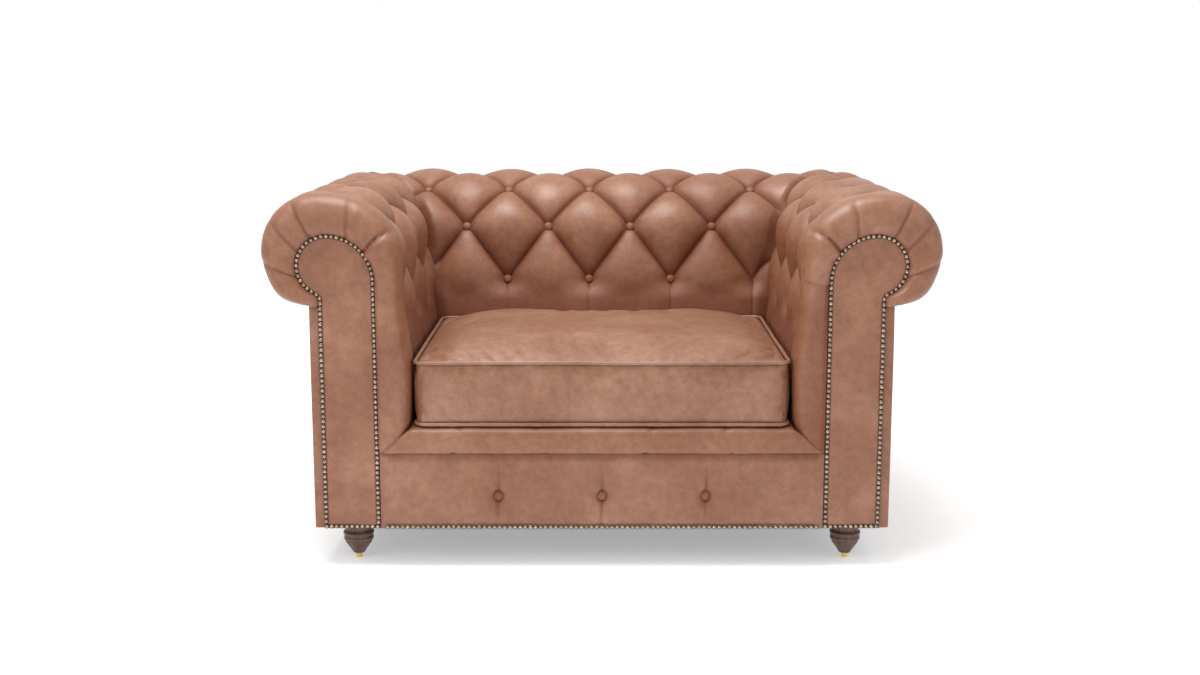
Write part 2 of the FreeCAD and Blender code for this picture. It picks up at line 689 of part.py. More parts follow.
def turned(label, corners, arcs=None):
    """A body turned about the Z axis from half of its section."""
    body = doc.addObject("PartDesign::Body", label)
    sketch = sketch_on(body, "XZ_Plane", f"{label}_section", "0")
    outline(sketch, corners, arcs)
    turn = body.newObject("PartDesign::Revolution", f"{label}_turn")
    turn.Profile = sketch
    turn.ReferenceAxis = (sketch, ["V_Axis"])
    turn.Angle = 360
    return body


def set_at(thing, spot, base="0"):
    """Bind the place of an object to expressions."""
    thing.setExpression("Placement.Base.x", spot[0])
    thing.setExpression("Placement.Base.y", spot[1])
    thing.setExpression("Placement.Base.z", base)


def foot_section():
    """Half of a turned foot: a tapering tip with a step, a bulge, a groove, a ring and a short neck."""
    low = "sizes.foot_bottom"
    top = RAIL_BOTTOM
    pin_top = "sizes.foot_bottom + sizes.glide_pin_length"
    bolt_low = f"{RAIL_BOTTOM} - sizes.bolt_half_length"
    corners = [
        ("sizes.glide_pin", low),
        ("sizes.foot_tip", low),
        ("sizes.foot_tip + 5", f"{low} + 8"),
        ("sizes.foot_cone - 4", f"{low} + 18"),
        ("sizes.foot_cone", f"{low} + 24"),
        ("sizes.foot_cone", f"{low} + 27"),
        ("sizes.foot_groove", f"{low} + 38"),
        ("sizes.foot_groove", f"{low} + 41"),
        ("sizes.foot_groove", f"{low} + 49"),
        ("sizes.foot_groove - 2", f"{low} + 53"),
        ("sizes.foot_groove + 1", top),
        ("sizes.bolt_radius", top),
        ("sizes.bolt_radius", bolt_low),
        ("0", bolt_low),
        ("0", pin_top),
        ("sizes.glide_pin", pin_top),
    ]
    bulge = "(sizes.foot_bulge - sizes.foot_groove) * 3"
    return corners, {5: (bulge, 1), 7: ("4.4", 1)}


def feet():
    """Four turned feet, each with a brass stud below and a bolt above."""
    corners, arcs = foot_section()
    stud = [
        ("0", "0"),
        ("sizes.glide_radius - 1.5", "0"),
        ("sizes.glide_radius", "1.5"),
        ("sizes.glide_radius", "sizes.foot_bottom"),
        ("sizes.glide_pin", "sizes.foot_bottom"),
        ("sizes.glide_pin", "sizes.foot_bottom + sizes.glide_pin_length"),
        ("0", "sizes.foot_bottom + sizes.glide_pin_length"),
    ]
    studs = []
    bolts = []
    for place, sign, row in FOOT_PLACES:
        spot = foot_spot(sign, row)
        foot = as_node(turned(f"{place}_foot", corners, arcs), f"{place}_foot")
        set_at(foot, spot)
        glide = turned(f"{place}_stud", stud, {1: ("1.5", 1)})
        set_at(glide, spot)
        studs.append(glide)
        bolt = doc.addObject("Part::Cylinder", f"{place}_bolt")
        bolt.setExpression("Radius", "sizes.bolt_radius")
        bolt.setExpression("Height", "2 * sizes.bolt_half_length")
        set_at(bolt, spot, f"{RAIL_BOTTOM} - sizes.bolt_half_length")
        bolts.append(bolt)
    for label, links in (("glides", studs), ("foot_bolts", bolts)):
        group = doc.addObject("Part::Compound", label)
        group.Links = links
        as_node(group, label)


def dust_cover():
    """Cloth stapled under the rails, with a round hole at each foot."""
    half = f"({FRAME_SIDE} - 4)"
    body = padded_body("dust_cover", "XY_Plane", "sizes.base_height", "sizes.dust_cloth",
                       lambda sketch: rectangle(sketch, (f"-{half}", half),
                                                (f"{FRAME_FRONT} + 2", f"{FRAME_BACK} - 4")))
    holes = sketch_on(body, "XY_Plane", "dust_cover_holes", "sizes.base_height")
    for place, sign, row in FOOT_PLACES:
        across, along = foot_spot(sign, row)
        middle = Vector(number(across), number(along), 0)
        radius = "sizes.foot_groove + 4"
        edge = holes.addGeometry(Part.Circle(middle, Vector(0, 0, 1), number(radius)), False)
        fix_point(holes, edge, 3, (across, along))
        held = holes.addConstraint(Sketcher.Constraint("Radius", edge, number(radius)))
        holes.setExpression(f"Constraints[{held}]", radius)
    pocket = body.newObject("PartDesign::Pocket", "dust_cover_pocket")
    pocket.Profile = holes
    pocket.Type = "ThroughAll"
    pocket.Midplane = True
    as_node(body, "dust_cover")


# ---------------------------------------------------------------- buttons and nails
def domed(corners, radius, rise):
    """A solid about the Z axis: straight edges from the axis out to radius, then a round cap of a rise."""
    curve = (radius ** 2 + rise ** 2) / (2 * rise)
    middle = rise - curve
    half_angle = math.asin(radius / curve) / 2
    halfway = Vector(curve * math.sin(half_angle), 0, middle + curve * math.cos(half_angle))
    rim = Vector(radius, 0, 0)
    crown = Vector(0, 0, rise)
    line = Part.makePolygon([crown] + [Vector(x, 0, z) for x, z in corners] + [rim])
    cap = Part.Arc(rim, halfway, crown).toShape()
    solid = Part.Face(Part.Wire(line.Edges + [cap])).revolve(Vector(), Vector(0, 0, 1), 360)
    if solid.Volume < 0:
        solid.reverse()
    return solid


def button():
    """A covered button about the Z axis: flat behind, domed in front, its rim at height 0."""
    radius = size("button_radius")
    half = size("button_thickness") / 2
    return domed([(0, -half), (radius * 0.7, -half)], radius, half)


def aimed(shape, place, normal):
    """A copy of a shape with its Z axis turned to a direction."""
    copy = shape.copy()
    copy.Placement = Placement(place, Rotation(Vector(0, 0, 1), normal))
    return copy


def face_points(face, roll_middle, crest, inner_radius):
    """Points (across, up) on the leather with their outward normals, from low_row_height upwards."""
    top = size("overall_height")
    start = Vector(face, 0, size("lean_start"))
    inner = Vector(roll_middle - crest, 0, top - inner_radius)
    outer = Vector(roll_middle, 0, top - size("roll_radius"))
    away = start - inner
    bearing = math.atan2(away.z, away.x) - math.acos(inner_radius / away.Length)
    bearing %= 2 * math.pi
    touch = inner + Vector(math.cos(bearing), 0, math.sin(bearing)) * inner_radius
    lean = (touch - start).normalize()
    share = (size("low_row_height") - start.z) / (touch.z - start.z)
    origin = start + (touch - start) * share
    normal = Vector(-lean.z, 0, lean.x)
    straight = (touch - origin).Length

    def at(length):
        if length <= straight:
            return origin + lean * length, normal
        angle = bearing - (length - straight) / inner_radius
        if angle >= math.pi / 2:
            outward = Vector(math.cos(angle), 0, math.sin(angle))
            return inner + outward * inner_radius, outward
        past = (math.pi / 2 - angle) * inner_radius
        if past <= crest:
            return Vector(inner.x + past, 0, top), Vector(0, 0, 1)
        angle = math.pi / 2 - (past - crest) / size("roll_radius")
        outward = Vector(math.cos(angle), 0, math.sin(angle))
        return outer + outward * size("roll_radius"), outward

    return at


def tufts():
    """Covered buttons of the back and of the arms, in a diamond pattern, pulled into the padding."""
    sink = size("tuft_sink")
    rows = [size("row_step") * index for index in range(4)]
    shape = button()
    at = face_points(number(BACK_FACE), size("overall_depth") / 2 - size("roll_radius"),
                     size("back_crest_width"), size("back_inner_radius"))
    pitch = size("back_column_pitch")
    buttons = []
    for index, length in enumerate(rows):
        place, outward = at(length)
        reach = mitre_x(place.x) - pitch * 0.22
        offset = size("back_column_shift") + (0.5 if index % 2 == 0 else 0) * pitch
        first = math.ceil((-reach - offset) / pitch)
        while offset + first * pitch <= reach:
            spot = place - outward * sink
            x = offset + first * pitch
            buttons.append(aimed(shape, Vector(x, spot.x, spot.z), Vector(0, outward.x, outward.z)))
            first += 1
    shaped("back_buttons", Part.makeCompound(buttons))
    at = face_points(number(INSIDE), number(HALF_WIDTH) - size("roll_radius"), size("arm_crest_width"),
                     size("arm_inner_radius"))
    pitch = size("arm_column_pitch")
    slope = size("back_thickness") / size("arm_width")
    for side, sign in SIDES:
        buttons = []
        for index, length in enumerate(rows):
            place, outward = at(length)
            limit = number(BACK_FACE) + (place.x - number(INSIDE)) * slope - pitch * 0.22
            y = number(FRONT) + size("arm_first_column") + (0.5 if index % 2 else 0) * pitch
            while y <= limit:
                spot = place - outward * sink
                buttons.append(aimed(shape, Vector(sign * spot.x, y, spot.z),
                                     Vector(sign * outward.x, 0, outward.z)))
                y += pitch
        shaped(f"{side}_arm_buttons", Part.makeCompound(buttons))
    panel_front = number(FRONT) + size("panel_recess")
    shaped("front_buttons", Part.makeCompound([
        aimed(shape, Vector(column_index * size("panel_button_pitch"),
                            panel_front + size("panel_button_sink"), size("panel_button_height")),
              Vector(0, -1, 0))
        for column_index in (-1, 0, 1)]))


def nail():
    """A domed nail about the Z axis, its head resting on height 0."""
    shank = size("nail_gauge") / 2
    length = size("nail_shank")
    return domed([(0, -length), (shank, 2 - length), (shank, 0)], size("nail_radius"), size("nail_dome"))


def nail_rows():
    """Nails round each facing and along the foot of the front panel."""
    shape = nail()
    pitch = size("nail_pitch")
    toward = Vector(0, -1, 0)
    for side, sign in SIDES:
        cover = next(node for node in nodes if node.Label == f"{side}_facing_cover")
        front_face = min(cover.Shape.Faces, key=lambda face: face.CenterOfMass.y)
        line = front_face.OuterWire.makeOffset2D(-size("nail_setback"), 2)
        count = round(line.Length / pitch)
        spots = line.discretize(Number=count + 1)[:-1]
        shaped(f"{side}_facing_nails", Part.makeCompound([aimed(shape, spot, toward) for spot in spots]))
    half = number(FACING_INNER)
    count = int((2 * half - pitch) // pitch)
    front = number(FRONT) + size("panel_recess")
    low = size("base_height") + size("nail_setback")
    row = [Vector((index - (count - 1) / 2) * pitch, front, low) for index in range(count)]
    shaped("front_rail_nails", Part.makeCompound([aimed(shape, spot, toward) for spot in row]))


# ---------------------------------------------------------------- cushion
def cushion():
    """A foam block in a boxed leather cover, with piping in its seams and a zip in its rear border."""
    half = number(INSIDE) - size("cushion_gap_side")
    front = number(FRONT) + size("cushion_setback")
    back = number(BACK_FACE) - size("cushion_gap_back")
    low = size("deck_top") + size("cushion_rest")
    edge = low + size("cushion_border")
    top = edge + size("cushion_crown")
    leather = size("leather")
    middle = (front + back) / 2

    def crowned(inset):
        """Box with rounded corners whose top is arched both ways."""
        plan = block((-half + inset, half - inset), (front + inset, back - inset), (low + inset, HIGH))
        upright = [line for line in plan.Edges if abs(line.Vertexes[0].Z - line.Vertexes[1].Z) > 1]
        plan = plan.makeFillet(size("cushion_corner") - inset, upright)
        wide = [Vector(-half - 1, 0, edge - inset), Vector(0, 0, top - inset),
                Vector(half + 1, 0, edge - inset)]
        sides = Part.makePolygon([wide[2], Vector(half + 1, 0, 0), Vector(-half - 1, 0, 0), wide[0]])
        arch = Part.Wire([Part.Arc(*wide).toShape(), sides])
        along = Part.Face(arch)
        along.translate(Vector(0, front - 1, 0))
        long = [Vector(0, front - 1, edge - inset), Vector(0, middle, top - inset),
                Vector(0, back + 1, edge - inset)]
        sides = Part.makePolygon([long[2], Vector(0, back + 1, 0), Vector(0, front - 1, 0), long[0]])
        arch = Part.Wire([Part.Arc(*long).toShape(), sides])
        across = Part.Face(arch)
        across.translate(Vector(-half - 1, 0, 0))
        return plan.common(along.extrude(Vector(0, back - front + 2, 0))).common(
            across.extrude(Vector(2 * half + 2, 0, 0)))

    core = crowned(leather)
    shaped("seat_cushion_core", core)
    shaped("seat_cushion_cover", crowned(0).cut(core))

    corner = size("cushion_corner")
    cord = size("piping_radius")
    loops = []
    for height in (low + cord, edge):
        flat = Part.makePlane(2 * half, back - front, Vector(-half, front, height), Vector(0, 0, 1))
        rim = flat.OuterWire.makeOffset2D(-corner).makeOffset2D(corner)
        first = rim.Edges[0]
        direction = first.tangentAt(first.FirstParameter)
        profile = Part.Wire(Part.makeCircle(cord, first.valueAt(first.FirstParameter), direction))
        loops.append(rim.makePipeShell([profile], True, True))
    shaped("seat_cushion_piping", Part.makeCompound(loops))

    run = size("zip_length") / 2
    zip_middle = (low + edge) / 2
    tape = size("zip_gauge")
    tall = size("zip_width") / 2
    shaped("cushion_zip", block((-run, run), (back, back + tape), (zip_middle - tall, zip_middle + tall)))
    long = size("slider_length") / 2
    near = back + tape + 0.5
    slide = block((-run, -run + 2 * long), (near, near + 2.5),
                  (zip_middle - long * 0.7, zip_middle + long * 0.7))
    pull = block((-run + long, -run + 4 * long), (near + 2.5, near + 4),
                 (zip_middle - long / 2, zip_middle + long / 2))
    shaped("zip_slider", slide.fuse(pull))


# ---------------------------------------------------------------- build, check and write
seat_frame()
top_boards()
facings()
doc.recompute()
arm_upholstery()
back_upholstery()
outside_panels()
front_border()
webbing()
seat_springs()
corner_blocks()
feet()
dust_cover()
tufts()
nail_rows()
cushion()
doc.recompute()

for thing in doc.Objects:
    if "Invalid" in thing.State or "Error" in thing.State:
        raise RuntimeError(f"{thing.Label} failed: {thing.State}")
os.makedirs("parts", exist_ok=True)
for node in nodes:
    if node.Shape.isNull() or not node.Shape.isValid() or node.Shape.Volume <= 0:
        raise RuntimeError(f"{node.Label} has a bad shape")
    node.Shape.exportStep(f"parts/{node.Label}.step")
    print(f"{node.Label}: {len(node.Shape.Solids)} solid(s), {node.Shape.Volume / 1000:.1f} cm3")
print(f"{len(nodes)} nodes")
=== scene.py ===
# %% [markdown]
# # A wide armchair in buttoned leather
# The frame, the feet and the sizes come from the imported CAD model. This script dresses it: buttoned leather
# over the arms and the back, nailed facings, a padded border, and one loose cushion with piping.
# Everything is in metres. +Z is up, the chair faces -Y, and +X is on the right of someone who looks at it.

# %% Load the fixed frame
import math

import bmesh
import bpy
import numpy as np
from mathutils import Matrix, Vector


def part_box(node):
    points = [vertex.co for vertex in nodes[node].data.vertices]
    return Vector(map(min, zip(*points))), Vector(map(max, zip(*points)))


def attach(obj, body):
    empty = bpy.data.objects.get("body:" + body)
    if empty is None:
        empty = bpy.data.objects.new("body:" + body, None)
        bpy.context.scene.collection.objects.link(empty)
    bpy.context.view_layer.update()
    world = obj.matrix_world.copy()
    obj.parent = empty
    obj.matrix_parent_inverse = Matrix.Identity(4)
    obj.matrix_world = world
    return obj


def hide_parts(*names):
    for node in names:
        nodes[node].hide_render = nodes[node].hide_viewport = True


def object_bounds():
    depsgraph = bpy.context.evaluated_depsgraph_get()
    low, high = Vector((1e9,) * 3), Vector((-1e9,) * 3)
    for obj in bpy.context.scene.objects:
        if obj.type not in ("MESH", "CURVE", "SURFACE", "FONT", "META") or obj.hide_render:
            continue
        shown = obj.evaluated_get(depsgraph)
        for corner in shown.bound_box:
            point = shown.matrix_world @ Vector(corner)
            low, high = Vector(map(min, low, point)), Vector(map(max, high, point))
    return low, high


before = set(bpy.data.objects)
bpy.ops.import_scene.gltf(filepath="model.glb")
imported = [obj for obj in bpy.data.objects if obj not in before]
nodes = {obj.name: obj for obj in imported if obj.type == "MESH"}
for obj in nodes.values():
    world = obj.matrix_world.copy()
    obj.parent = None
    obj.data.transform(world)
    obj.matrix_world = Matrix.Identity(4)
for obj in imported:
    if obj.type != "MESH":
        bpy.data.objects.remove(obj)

cad_low, cad_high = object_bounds()
print("CAD box", [round(value, 3) for value in (*cad_low, *cad_high)])

# %% [markdown]
# ## Sizes
# The overall sizes are read from the frame. What the CAD solids can't tell, such as how deep a button pulls,
# is a named value here, the same as in the model.

# %% Sizes from the frame
half_width = cad_high.x
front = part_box("right_arm_cover")[0].y
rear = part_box("back_cover")[1].y
crest = cad_high.z
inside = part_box("right_arm_cover")[0].x  # inside face of the right arm, at the seat
back_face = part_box("back_cover")[0].y
panel_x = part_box("right_outside_panel")[1].x
panel_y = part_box("back_outside_panel")[1].y
panel_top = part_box("right_outside_panel")[1].z
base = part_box("right_facing_cover")[0].z
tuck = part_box("back_cover")[0].z
facing_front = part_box("right_facing_cover")[0].y
facing_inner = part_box("right_facing_cover")[0].x
facing_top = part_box("right_facing_cover")[1].z
lip_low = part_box("front_lip_cover")[0].z
lip_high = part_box("front_lip_cover")[1].z
lip_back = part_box("front_lip_cover")[1].y
panel_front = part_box("front_panel_cover")[0].y
roll_radius = 0.115
arm_inner_radius = 0.145
back_inner_radius = 0.175
lean_start = 0.440
scroll_radius = 0.067
scroll_inset = 0.138
neck_radius = 0.009
facing_outer = panel_x - 0.019
row_height = 0.529  # lowest row of buttons
row_step = 0.134
column_pitch = 0.202
back_shift = 0.070
arm_first = 0.128
nail_radius = 0.005
panel_buttons = (-0.217, 0.0, 0.217)  # across the front panel
panel_button_height = 0.154
print("half width", round(half_width, 3), "inside", round(inside, 3), "crest", round(crest, 3))


# %% [markdown]
# ## Small helpers
# Most soft surfaces here follow a rule, so they are built as grids: an array of points, row by row, that
# becomes a mesh. Points that fall on each other are welded, and faces left with no area are dropped.

# %% Grids and meshes
def mesh_object(name, points, faces):
    """A smooth mesh object at the origin, from points and faces."""
    mesh = bpy.data.meshes.new(name)
    mesh.from_pydata([tuple(point) for point in points], [], faces)
    mesh.update()
    thing = bpy.data.objects.new(name, mesh)
    bpy.context.scene.collection.objects.link(thing)
    mesh.shade_smooth()
    return thing


def grid_faces(rows, columns, closed=False):
    """Quads of a grid whose points are listed row by row."""
    wide = columns if closed else columns - 1
    return [(r * columns + c, r * columns + (c + 1) % columns,
             (r + 1) * columns + (c + 1) % columns, (r + 1) * columns + c)
            for r in range(rows - 1) for c in range(wide)]


def grid_object(name, points, flip=False, closed=False, values=None):
    """An object from an array of shape rows x columns x 3, with an optional painted fold shade for each point."""
    rows, columns = points.shape[:2]
    faces = grid_faces(rows, columns, closed)
    if flip:
        faces = [face[::-1] for face in faces]
    thing = mesh_object(name, points.reshape(-1, 3), faces)
    set_fold_shade(thing, values if values is not None else np.zeros(rows * columns))
    weld(thing)
    return thing


def set_fold_shade(thing, values):
    """How deep in a fold each point lies, from 0 to 1, used as painted shade: the colour is darkened there in place
    of the fold's shadow.
    """
    fold_shade = thing.data.attributes.new("fold_shade", "FLOAT", "POINT")
    fold_shade.data.foreach_set("value", np.clip(np.asarray(values, float).reshape(-1), 0, 1))


def weld(thing, distance=0.00002):
    """Join points that lie on each other and drop what has no area."""
    work = bmesh.new()
    work.from_mesh(thing.data)
    bmesh.ops.remove_doubles(work, verts=work.verts, dist=distance)
    bmesh.ops.dissolve_degenerate(work, edges=work.edges, dist=distance)
    work.to_mesh(thing.data)
    work.free()
    thing.data.shade_smooth()


def outward(thing):
    """Turn the faces of a closed shape outwards."""
    work = bmesh.new()
    work.from_mesh(thing.data)
    bmesh.ops.recalc_face_normals(work, faces=work.faces)
    work.to_mesh(thing.data)
    work.free()


def vertex_array(mesh):
    """The vertices of a mesh as an array."""
    flat = np.zeros(len(mesh.vertices) * 3)
    mesh.vertices.foreach_get("co", flat)
    return flat.reshape(-1, 3)


def lengths_along(line):
    """The length of a line from its start to each of its points."""
    return np.concatenate([[0], np.cumsum(np.linalg.norm(np.diff(line, axis=0), axis=1))])


def at_lengths(line, lengths, marks):
    """The points of a line at marks along its length."""
    return np.stack([np.interp(marks, lengths, line[:, axis]) for axis in range(line.shape[1])], axis=-1)


def smooth(value):
    """0 below 0, 1 above 1, and a soft step between."""
    value = np.clip(value, 0, 1)
    return value * value * (3 - 2 * value)


def ripple(points, size=0.11, seed=1.0):
    """A slow unevenness between -1 and 1, the same on every run."""
    x, y, z = (points[..., axis] / size for axis in range(3))
    return (np.sin(1.7 * x + 2.3 * y + seed) + np.sin(2.9 * y - 1.3 * z + 2.1 * seed)
            + np.sin(2.2 * z + 1.9 * x + 0.7 * seed) + np.sin(3.7 * x - 2.6 * z + 3.0 * seed)) / 4


def grid_normals(points):
    """Unit normals of a grid, from its neighbours."""
    along = np.gradient(points, axis=1)
    across = np.gradient(points, axis=0)
    normal = np.cross(along, across)
    return normal / np.maximum(np.linalg.norm(normal, axis=-1, keepdims=True), 1e-9)


# %% [markdown]
# ## Finishes
# Waxed leather is the main finish. The real hide is mottled where the dye was rubbed by hand, with fine grain and a
# few short scratches.
# Its high spots are paler, partly from wear and partly as a painted highlight, and its folds, seams and hollows get
# painted shade.
# The colours come from noise on Object coordinates and the painted fold shade of each point, and the gloss varies
# with the same mottling.

# %% Node helpers
def new_material(name):
    """An empty material with its shader, and a function that adds nodes to it."""
    material = bpy.data.materials.new(name)
    material.use_nodes = True
    tree = material.node_tree
    shader = tree.nodes["Principled BSDF"]

    def add(kind, **settings):
        node = tree.nodes.new(kind)
        for key, value in settings.items():
            setattr(node, key, value)
        return node

    return material, tree, shader, add


def colour_ramp(add, stops):
    """A ramp through (position, colour) stops."""
    ramp = add("ShaderNodeValToRGB")
    elements = ramp.color_ramp.elements
    while len(elements) < len(stops):
        elements.new(0.5)
    for element, (position, colour) in zip(elements, stops):
        element.position = position
        element.color = (*colour, 1)
    return ramp


def noise_at(add, tree, coordinates, scale, detail=4.0, roughness=0.55, stretch=None):
    """Noise of a size, on Object coordinates that may be stretched first."""
    noise = add("ShaderNodeTexNoise")
    noise.inputs["Scale"].default_value = scale
    noise.inputs["Detail"].default_value = detail
    noise.inputs["Roughness"].default_value = roughness
    source = coordinates.outputs["Object"]
    if stretch:
        mapping = add("ShaderNodeMapping")
        mapping.inputs["Scale"].default_value = stretch
        tree.links.new(source, mapping.inputs["Vector"])
        source = mapping.outputs["Vector"]
    tree.links.new(source, noise.inputs["Vector"])
    return noise


def mix_colour(add, tree, kind, factor, first, second):
    """Mix two colours. factor is a number or a socket."""
    mix = add("ShaderNodeMix", data_type="RGBA", blend_type=kind)
    for socket, value in ((mix.inputs[0], factor), (mix.inputs[6], first), (mix.inputs[7], second)):
        if isinstance(value, bpy.types.NodeSocket):
            tree.links.new(value, socket)
        elif isinstance(value, tuple):
            socket.default_value = (*value, 1)
        else:
            socket.default_value = value
    return mix.outputs[2]


def calculate(add, tree, operation, first, second):
    """One step of arithmetic between numbers or sockets."""
    node = add("ShaderNodeMath", operation=operation)
    for socket, value in zip(node.inputs, (first, second)):
        if isinstance(value, bpy.types.NodeSocket):
            tree.links.new(value, socket)
        else:
            socket.default_value = value
    return node.outputs[0]


def map_range(add, tree, value, start, finish, low=0.0, high=1.0):
    """A number or socket taken from one range to another, and held inside it."""
    node = add("ShaderNodeMapRange")
    for name, number in (("From Min", start), ("From Max", finish), ("To Min", low), ("To Max", high)):
        node.inputs[name].default_value = number
    tree.links.new(value, node.inputs["Value"])
    return node.outputs["Result"]


def bump_from(add, tree, shader, height, strength, distance):
    """Let a height raise the surface."""
    bump = add("ShaderNodeBump")
    bump.inputs["Strength"].default_value = strength
    bump.inputs["Distance"].default_value = distance
    tree.links.new(height, bump.inputs["Height"])
    tree.links.new(bump.outputs["Normal"], shader.inputs["Normal"])


# %% Colours of waxed leather
# Painted shade: the near-black brown laid into the core of every fold in place of its shadow.
fold_core_shadow = (0.040, 0.011, 0.004)


def dark_mix(first, second, share):
    """A colour part of the way from one to another."""
    return tuple(a + (b - a) * share for a, b in zip(first, second))


def hide_colour(add, tree, where, clouds, colours):
    """The hide before the paler crest and the painted fold shade: cloudy dye, fine speckles and short pale scratches.
    """
    mid, pale, dark, wear_and_highlight_colour = colours
    mottling = colour_ramp(add, [(0.30, dark_mix(mid, dark, 0.28)), (0.50, mid), (0.72, pale)])
    tree.links.new(clouds.outputs["Fac"], mottling.inputs["Fac"])
    speckle = noise_at(add, tree, where, 60.0, 6.0, 0.7)
    speckle_ramp = colour_ramp(add, [(0.36, (0.80, 0.76, 0.74)), (0.60, (1.0, 1.0, 1.0)), (0.78, (1.10, 1.10, 1.10))])
    tree.links.new(speckle.outputs["Fac"], speckle_ramp.inputs["Fac"])
    colour = mix_colour(add, tree, "MULTIPLY", 1.0, mottling.outputs["Color"], speckle_ramp.outputs["Color"])
    scratch = noise_at(add, tree, where, 75.0, 5.0, 0.75, stretch=(1.0, 1.0, 1.8))
    scratch_ramp = colour_ramp(add, [(0.64, (0, 0, 0)), (0.74, (0.50, 0.50, 0.50))])
    tree.links.new(scratch.outputs["Fac"], scratch_ramp.inputs["Fac"])
    return mix_colour(add, tree, "MIX", scratch_ramp.outputs["Color"], colour, wear_and_highlight_colour)


# %% Waxed leather
# The dark colour is both the darker dye of the mottling and the painted shade of the hollows. The pale worn colour is
# both that of the scratches and that of the crest, where it is partly wear and partly a painted highlight.
def leather_finish(name, mid=(0.255, 0.106, 0.055), pale=(0.325, 0.152, 0.091), dark=(0.135, 0.0225, 0.003),
                   wear_and_highlight_colour=(0.40, 0.240, 0.168)):
    """Waxed, hand-rubbed leather: paler on the crest, partly from wear and partly as a painted highlight; tan painted
    shade in the hollows and darker painted shade in the core of a fold.
    """
    material, tree, shader, add = new_material(name)
    where = add("ShaderNodeTexCoord")
    clouds = noise_at(add, tree, where, 7.0, 5.0, 0.62)
    colour = hide_colour(add, tree, where, clouds, (mid, pale, dark, wear_and_highlight_colour))
    place = add("ShaderNodeSeparateXYZ")
    tree.links.new(where.outputs["Object"], place.inputs["Vector"])
    # Paler crest: partly rubbed wear, partly a painted highlight of the overhead light on the top of the rolls.
    near_crest = map_range(add, tree, place.outputs["Z"], 0.68, 0.80, 0.0, 0.42)
    crest_wear_and_highlight = calculate(add, tree, "MULTIPLY", near_crest, clouds.outputs["Fac"])
    colour = mix_colour(add, tree, "MIX", crest_wear_and_highlight, colour, wear_and_highlight_colour)
    # Painted shade: the fold shade darkens the hollows towards the tan of the dark colour and the core of each fold
    # towards near black.
    fold_shade = add("ShaderNodeAttribute", attribute_name="fold_shade")
    shade = map_range(add, tree, fold_shade.outputs["Fac"], 0.06, 1.0, 0.0, 0.92)
    colour = mix_colour(add, tree, "MIX", shade, colour, dark)
    core_shadow = map_range(add, tree, fold_shade.outputs["Fac"], 0.80, 1.0, 0.0, 0.85)
    colour = mix_colour(add, tree, "MIX", core_shadow, colour, fold_core_shadow)
    tree.links.new(colour, shader.inputs["Base Color"])
    gloss = map_range(add, tree, clouds.outputs["Fac"], 0.3, 0.7, 0.47, 0.34)
    duller = calculate(add, tree, "MULTIPLY", shade, 0.40)
    tree.links.new(calculate(add, tree, "ADD", gloss, duller), shader.inputs["Roughness"])
    grain = add("ShaderNodeTexVoronoi", feature="DISTANCE_TO_EDGE")
    grain.inputs["Scale"].default_value = 520.0
    tree.links.new(where.outputs["Object"], grain.inputs["Vector"])
    wrinkle = noise_at(add, tree, where, 38.0, 5.0, 0.6)
    height = calculate(add, tree, "MULTIPLY", grain.outputs["Distance"], 0.35)
    height = calculate(add, tree, "ADD", height, calculate(add, tree, "MULTIPLY", wrinkle.outputs["Fac"], 1.4))
    bump_from(add, tree, shader, height, 0.32, 0.0016)
    shader.inputs["Specular IOR Level"].default_value = 0.5
    return material


leather = leather_finish("waxed_leather")
seat_leather = leather_finish("seat_leather", mid=(0.280, 0.130, 0.074), pale=(0.352, 0.184, 0.118))
print("leather nodes:", len(leather.node_tree.nodes))

# %% [markdown]
# The frame's hardwood and the walnut of the feet share one recipe with other colours: long streaks of noise
# for the grain, finer pores across it, and a bump from the same streaks.


# %% Wood
def wood_finish(name, pale, dark, roughness, along=(1.0, 1.0, 12.0), scale=14.0):
    """Wood whose grain is long where along is small."""
    material, tree, shader, add = new_material(name)
    where = add("ShaderNodeTexCoord")
    streaks = noise_at(add, tree, where, scale, 6.0, 0.6, stretch=along)
    ramp = colour_ramp(add, [(0.32, dark), (0.68, pale)])
    tree.links.new(streaks.outputs["Fac"], ramp.inputs["Fac"])
    pores = noise_at(add, tree, where, scale * 9, 3.0, 0.6, stretch=along)
    pore_ramp = colour_ramp(add, [(0.38, (0.62, 0.58, 0.55)), (0.55, (1.0, 1.0, 1.0))])
    tree.links.new(pores.outputs["Fac"], pore_ramp.inputs["Fac"])
    colour = mix_colour(add, tree, "MULTIPLY", 0.8, ramp.outputs["Color"], pore_ramp.outputs["Color"])
    tree.links.new(colour, shader.inputs["Base Color"])
    shader.inputs["Roughness"].default_value = roughness
    bump_from(add, tree, shader, pores.outputs["Fac"], 0.25, 0.0006)
    return material


walnut = wood_finish("turned_walnut", (0.165, 0.080, 0.052), (0.050, 0.023, 0.016), 0.36, (6.0, 6.0, 1.0), 16.0)
beech_along = wood_finish("beech_across_the_chair", (0.60, 0.42, 0.25), (0.44, 0.28, 0.15), 0.62, (1.0, 9.0, 9.0))
beech_deep = wood_finish("beech_front_to_back", (0.58, 0.40, 0.24), (0.42, 0.27, 0.15), 0.62, (9.0, 1.0, 9.0))
beech_tall = wood_finish("beech_upright", (0.59, 0.41, 0.25), (0.43, 0.28, 0.15), 0.62, (9.0, 9.0, 1.0))
print("wood finishes:", walnut.name, beech_along.name, beech_deep.name, beech_tall.name)


# %% [markdown]
# Metals get their character from uneven gloss and patches of tarnish, and the nail heads get a painted shaded rim.
# Cloths get a weave: two crossed waves, one for each set of threads, that drive both the colour and the bump.

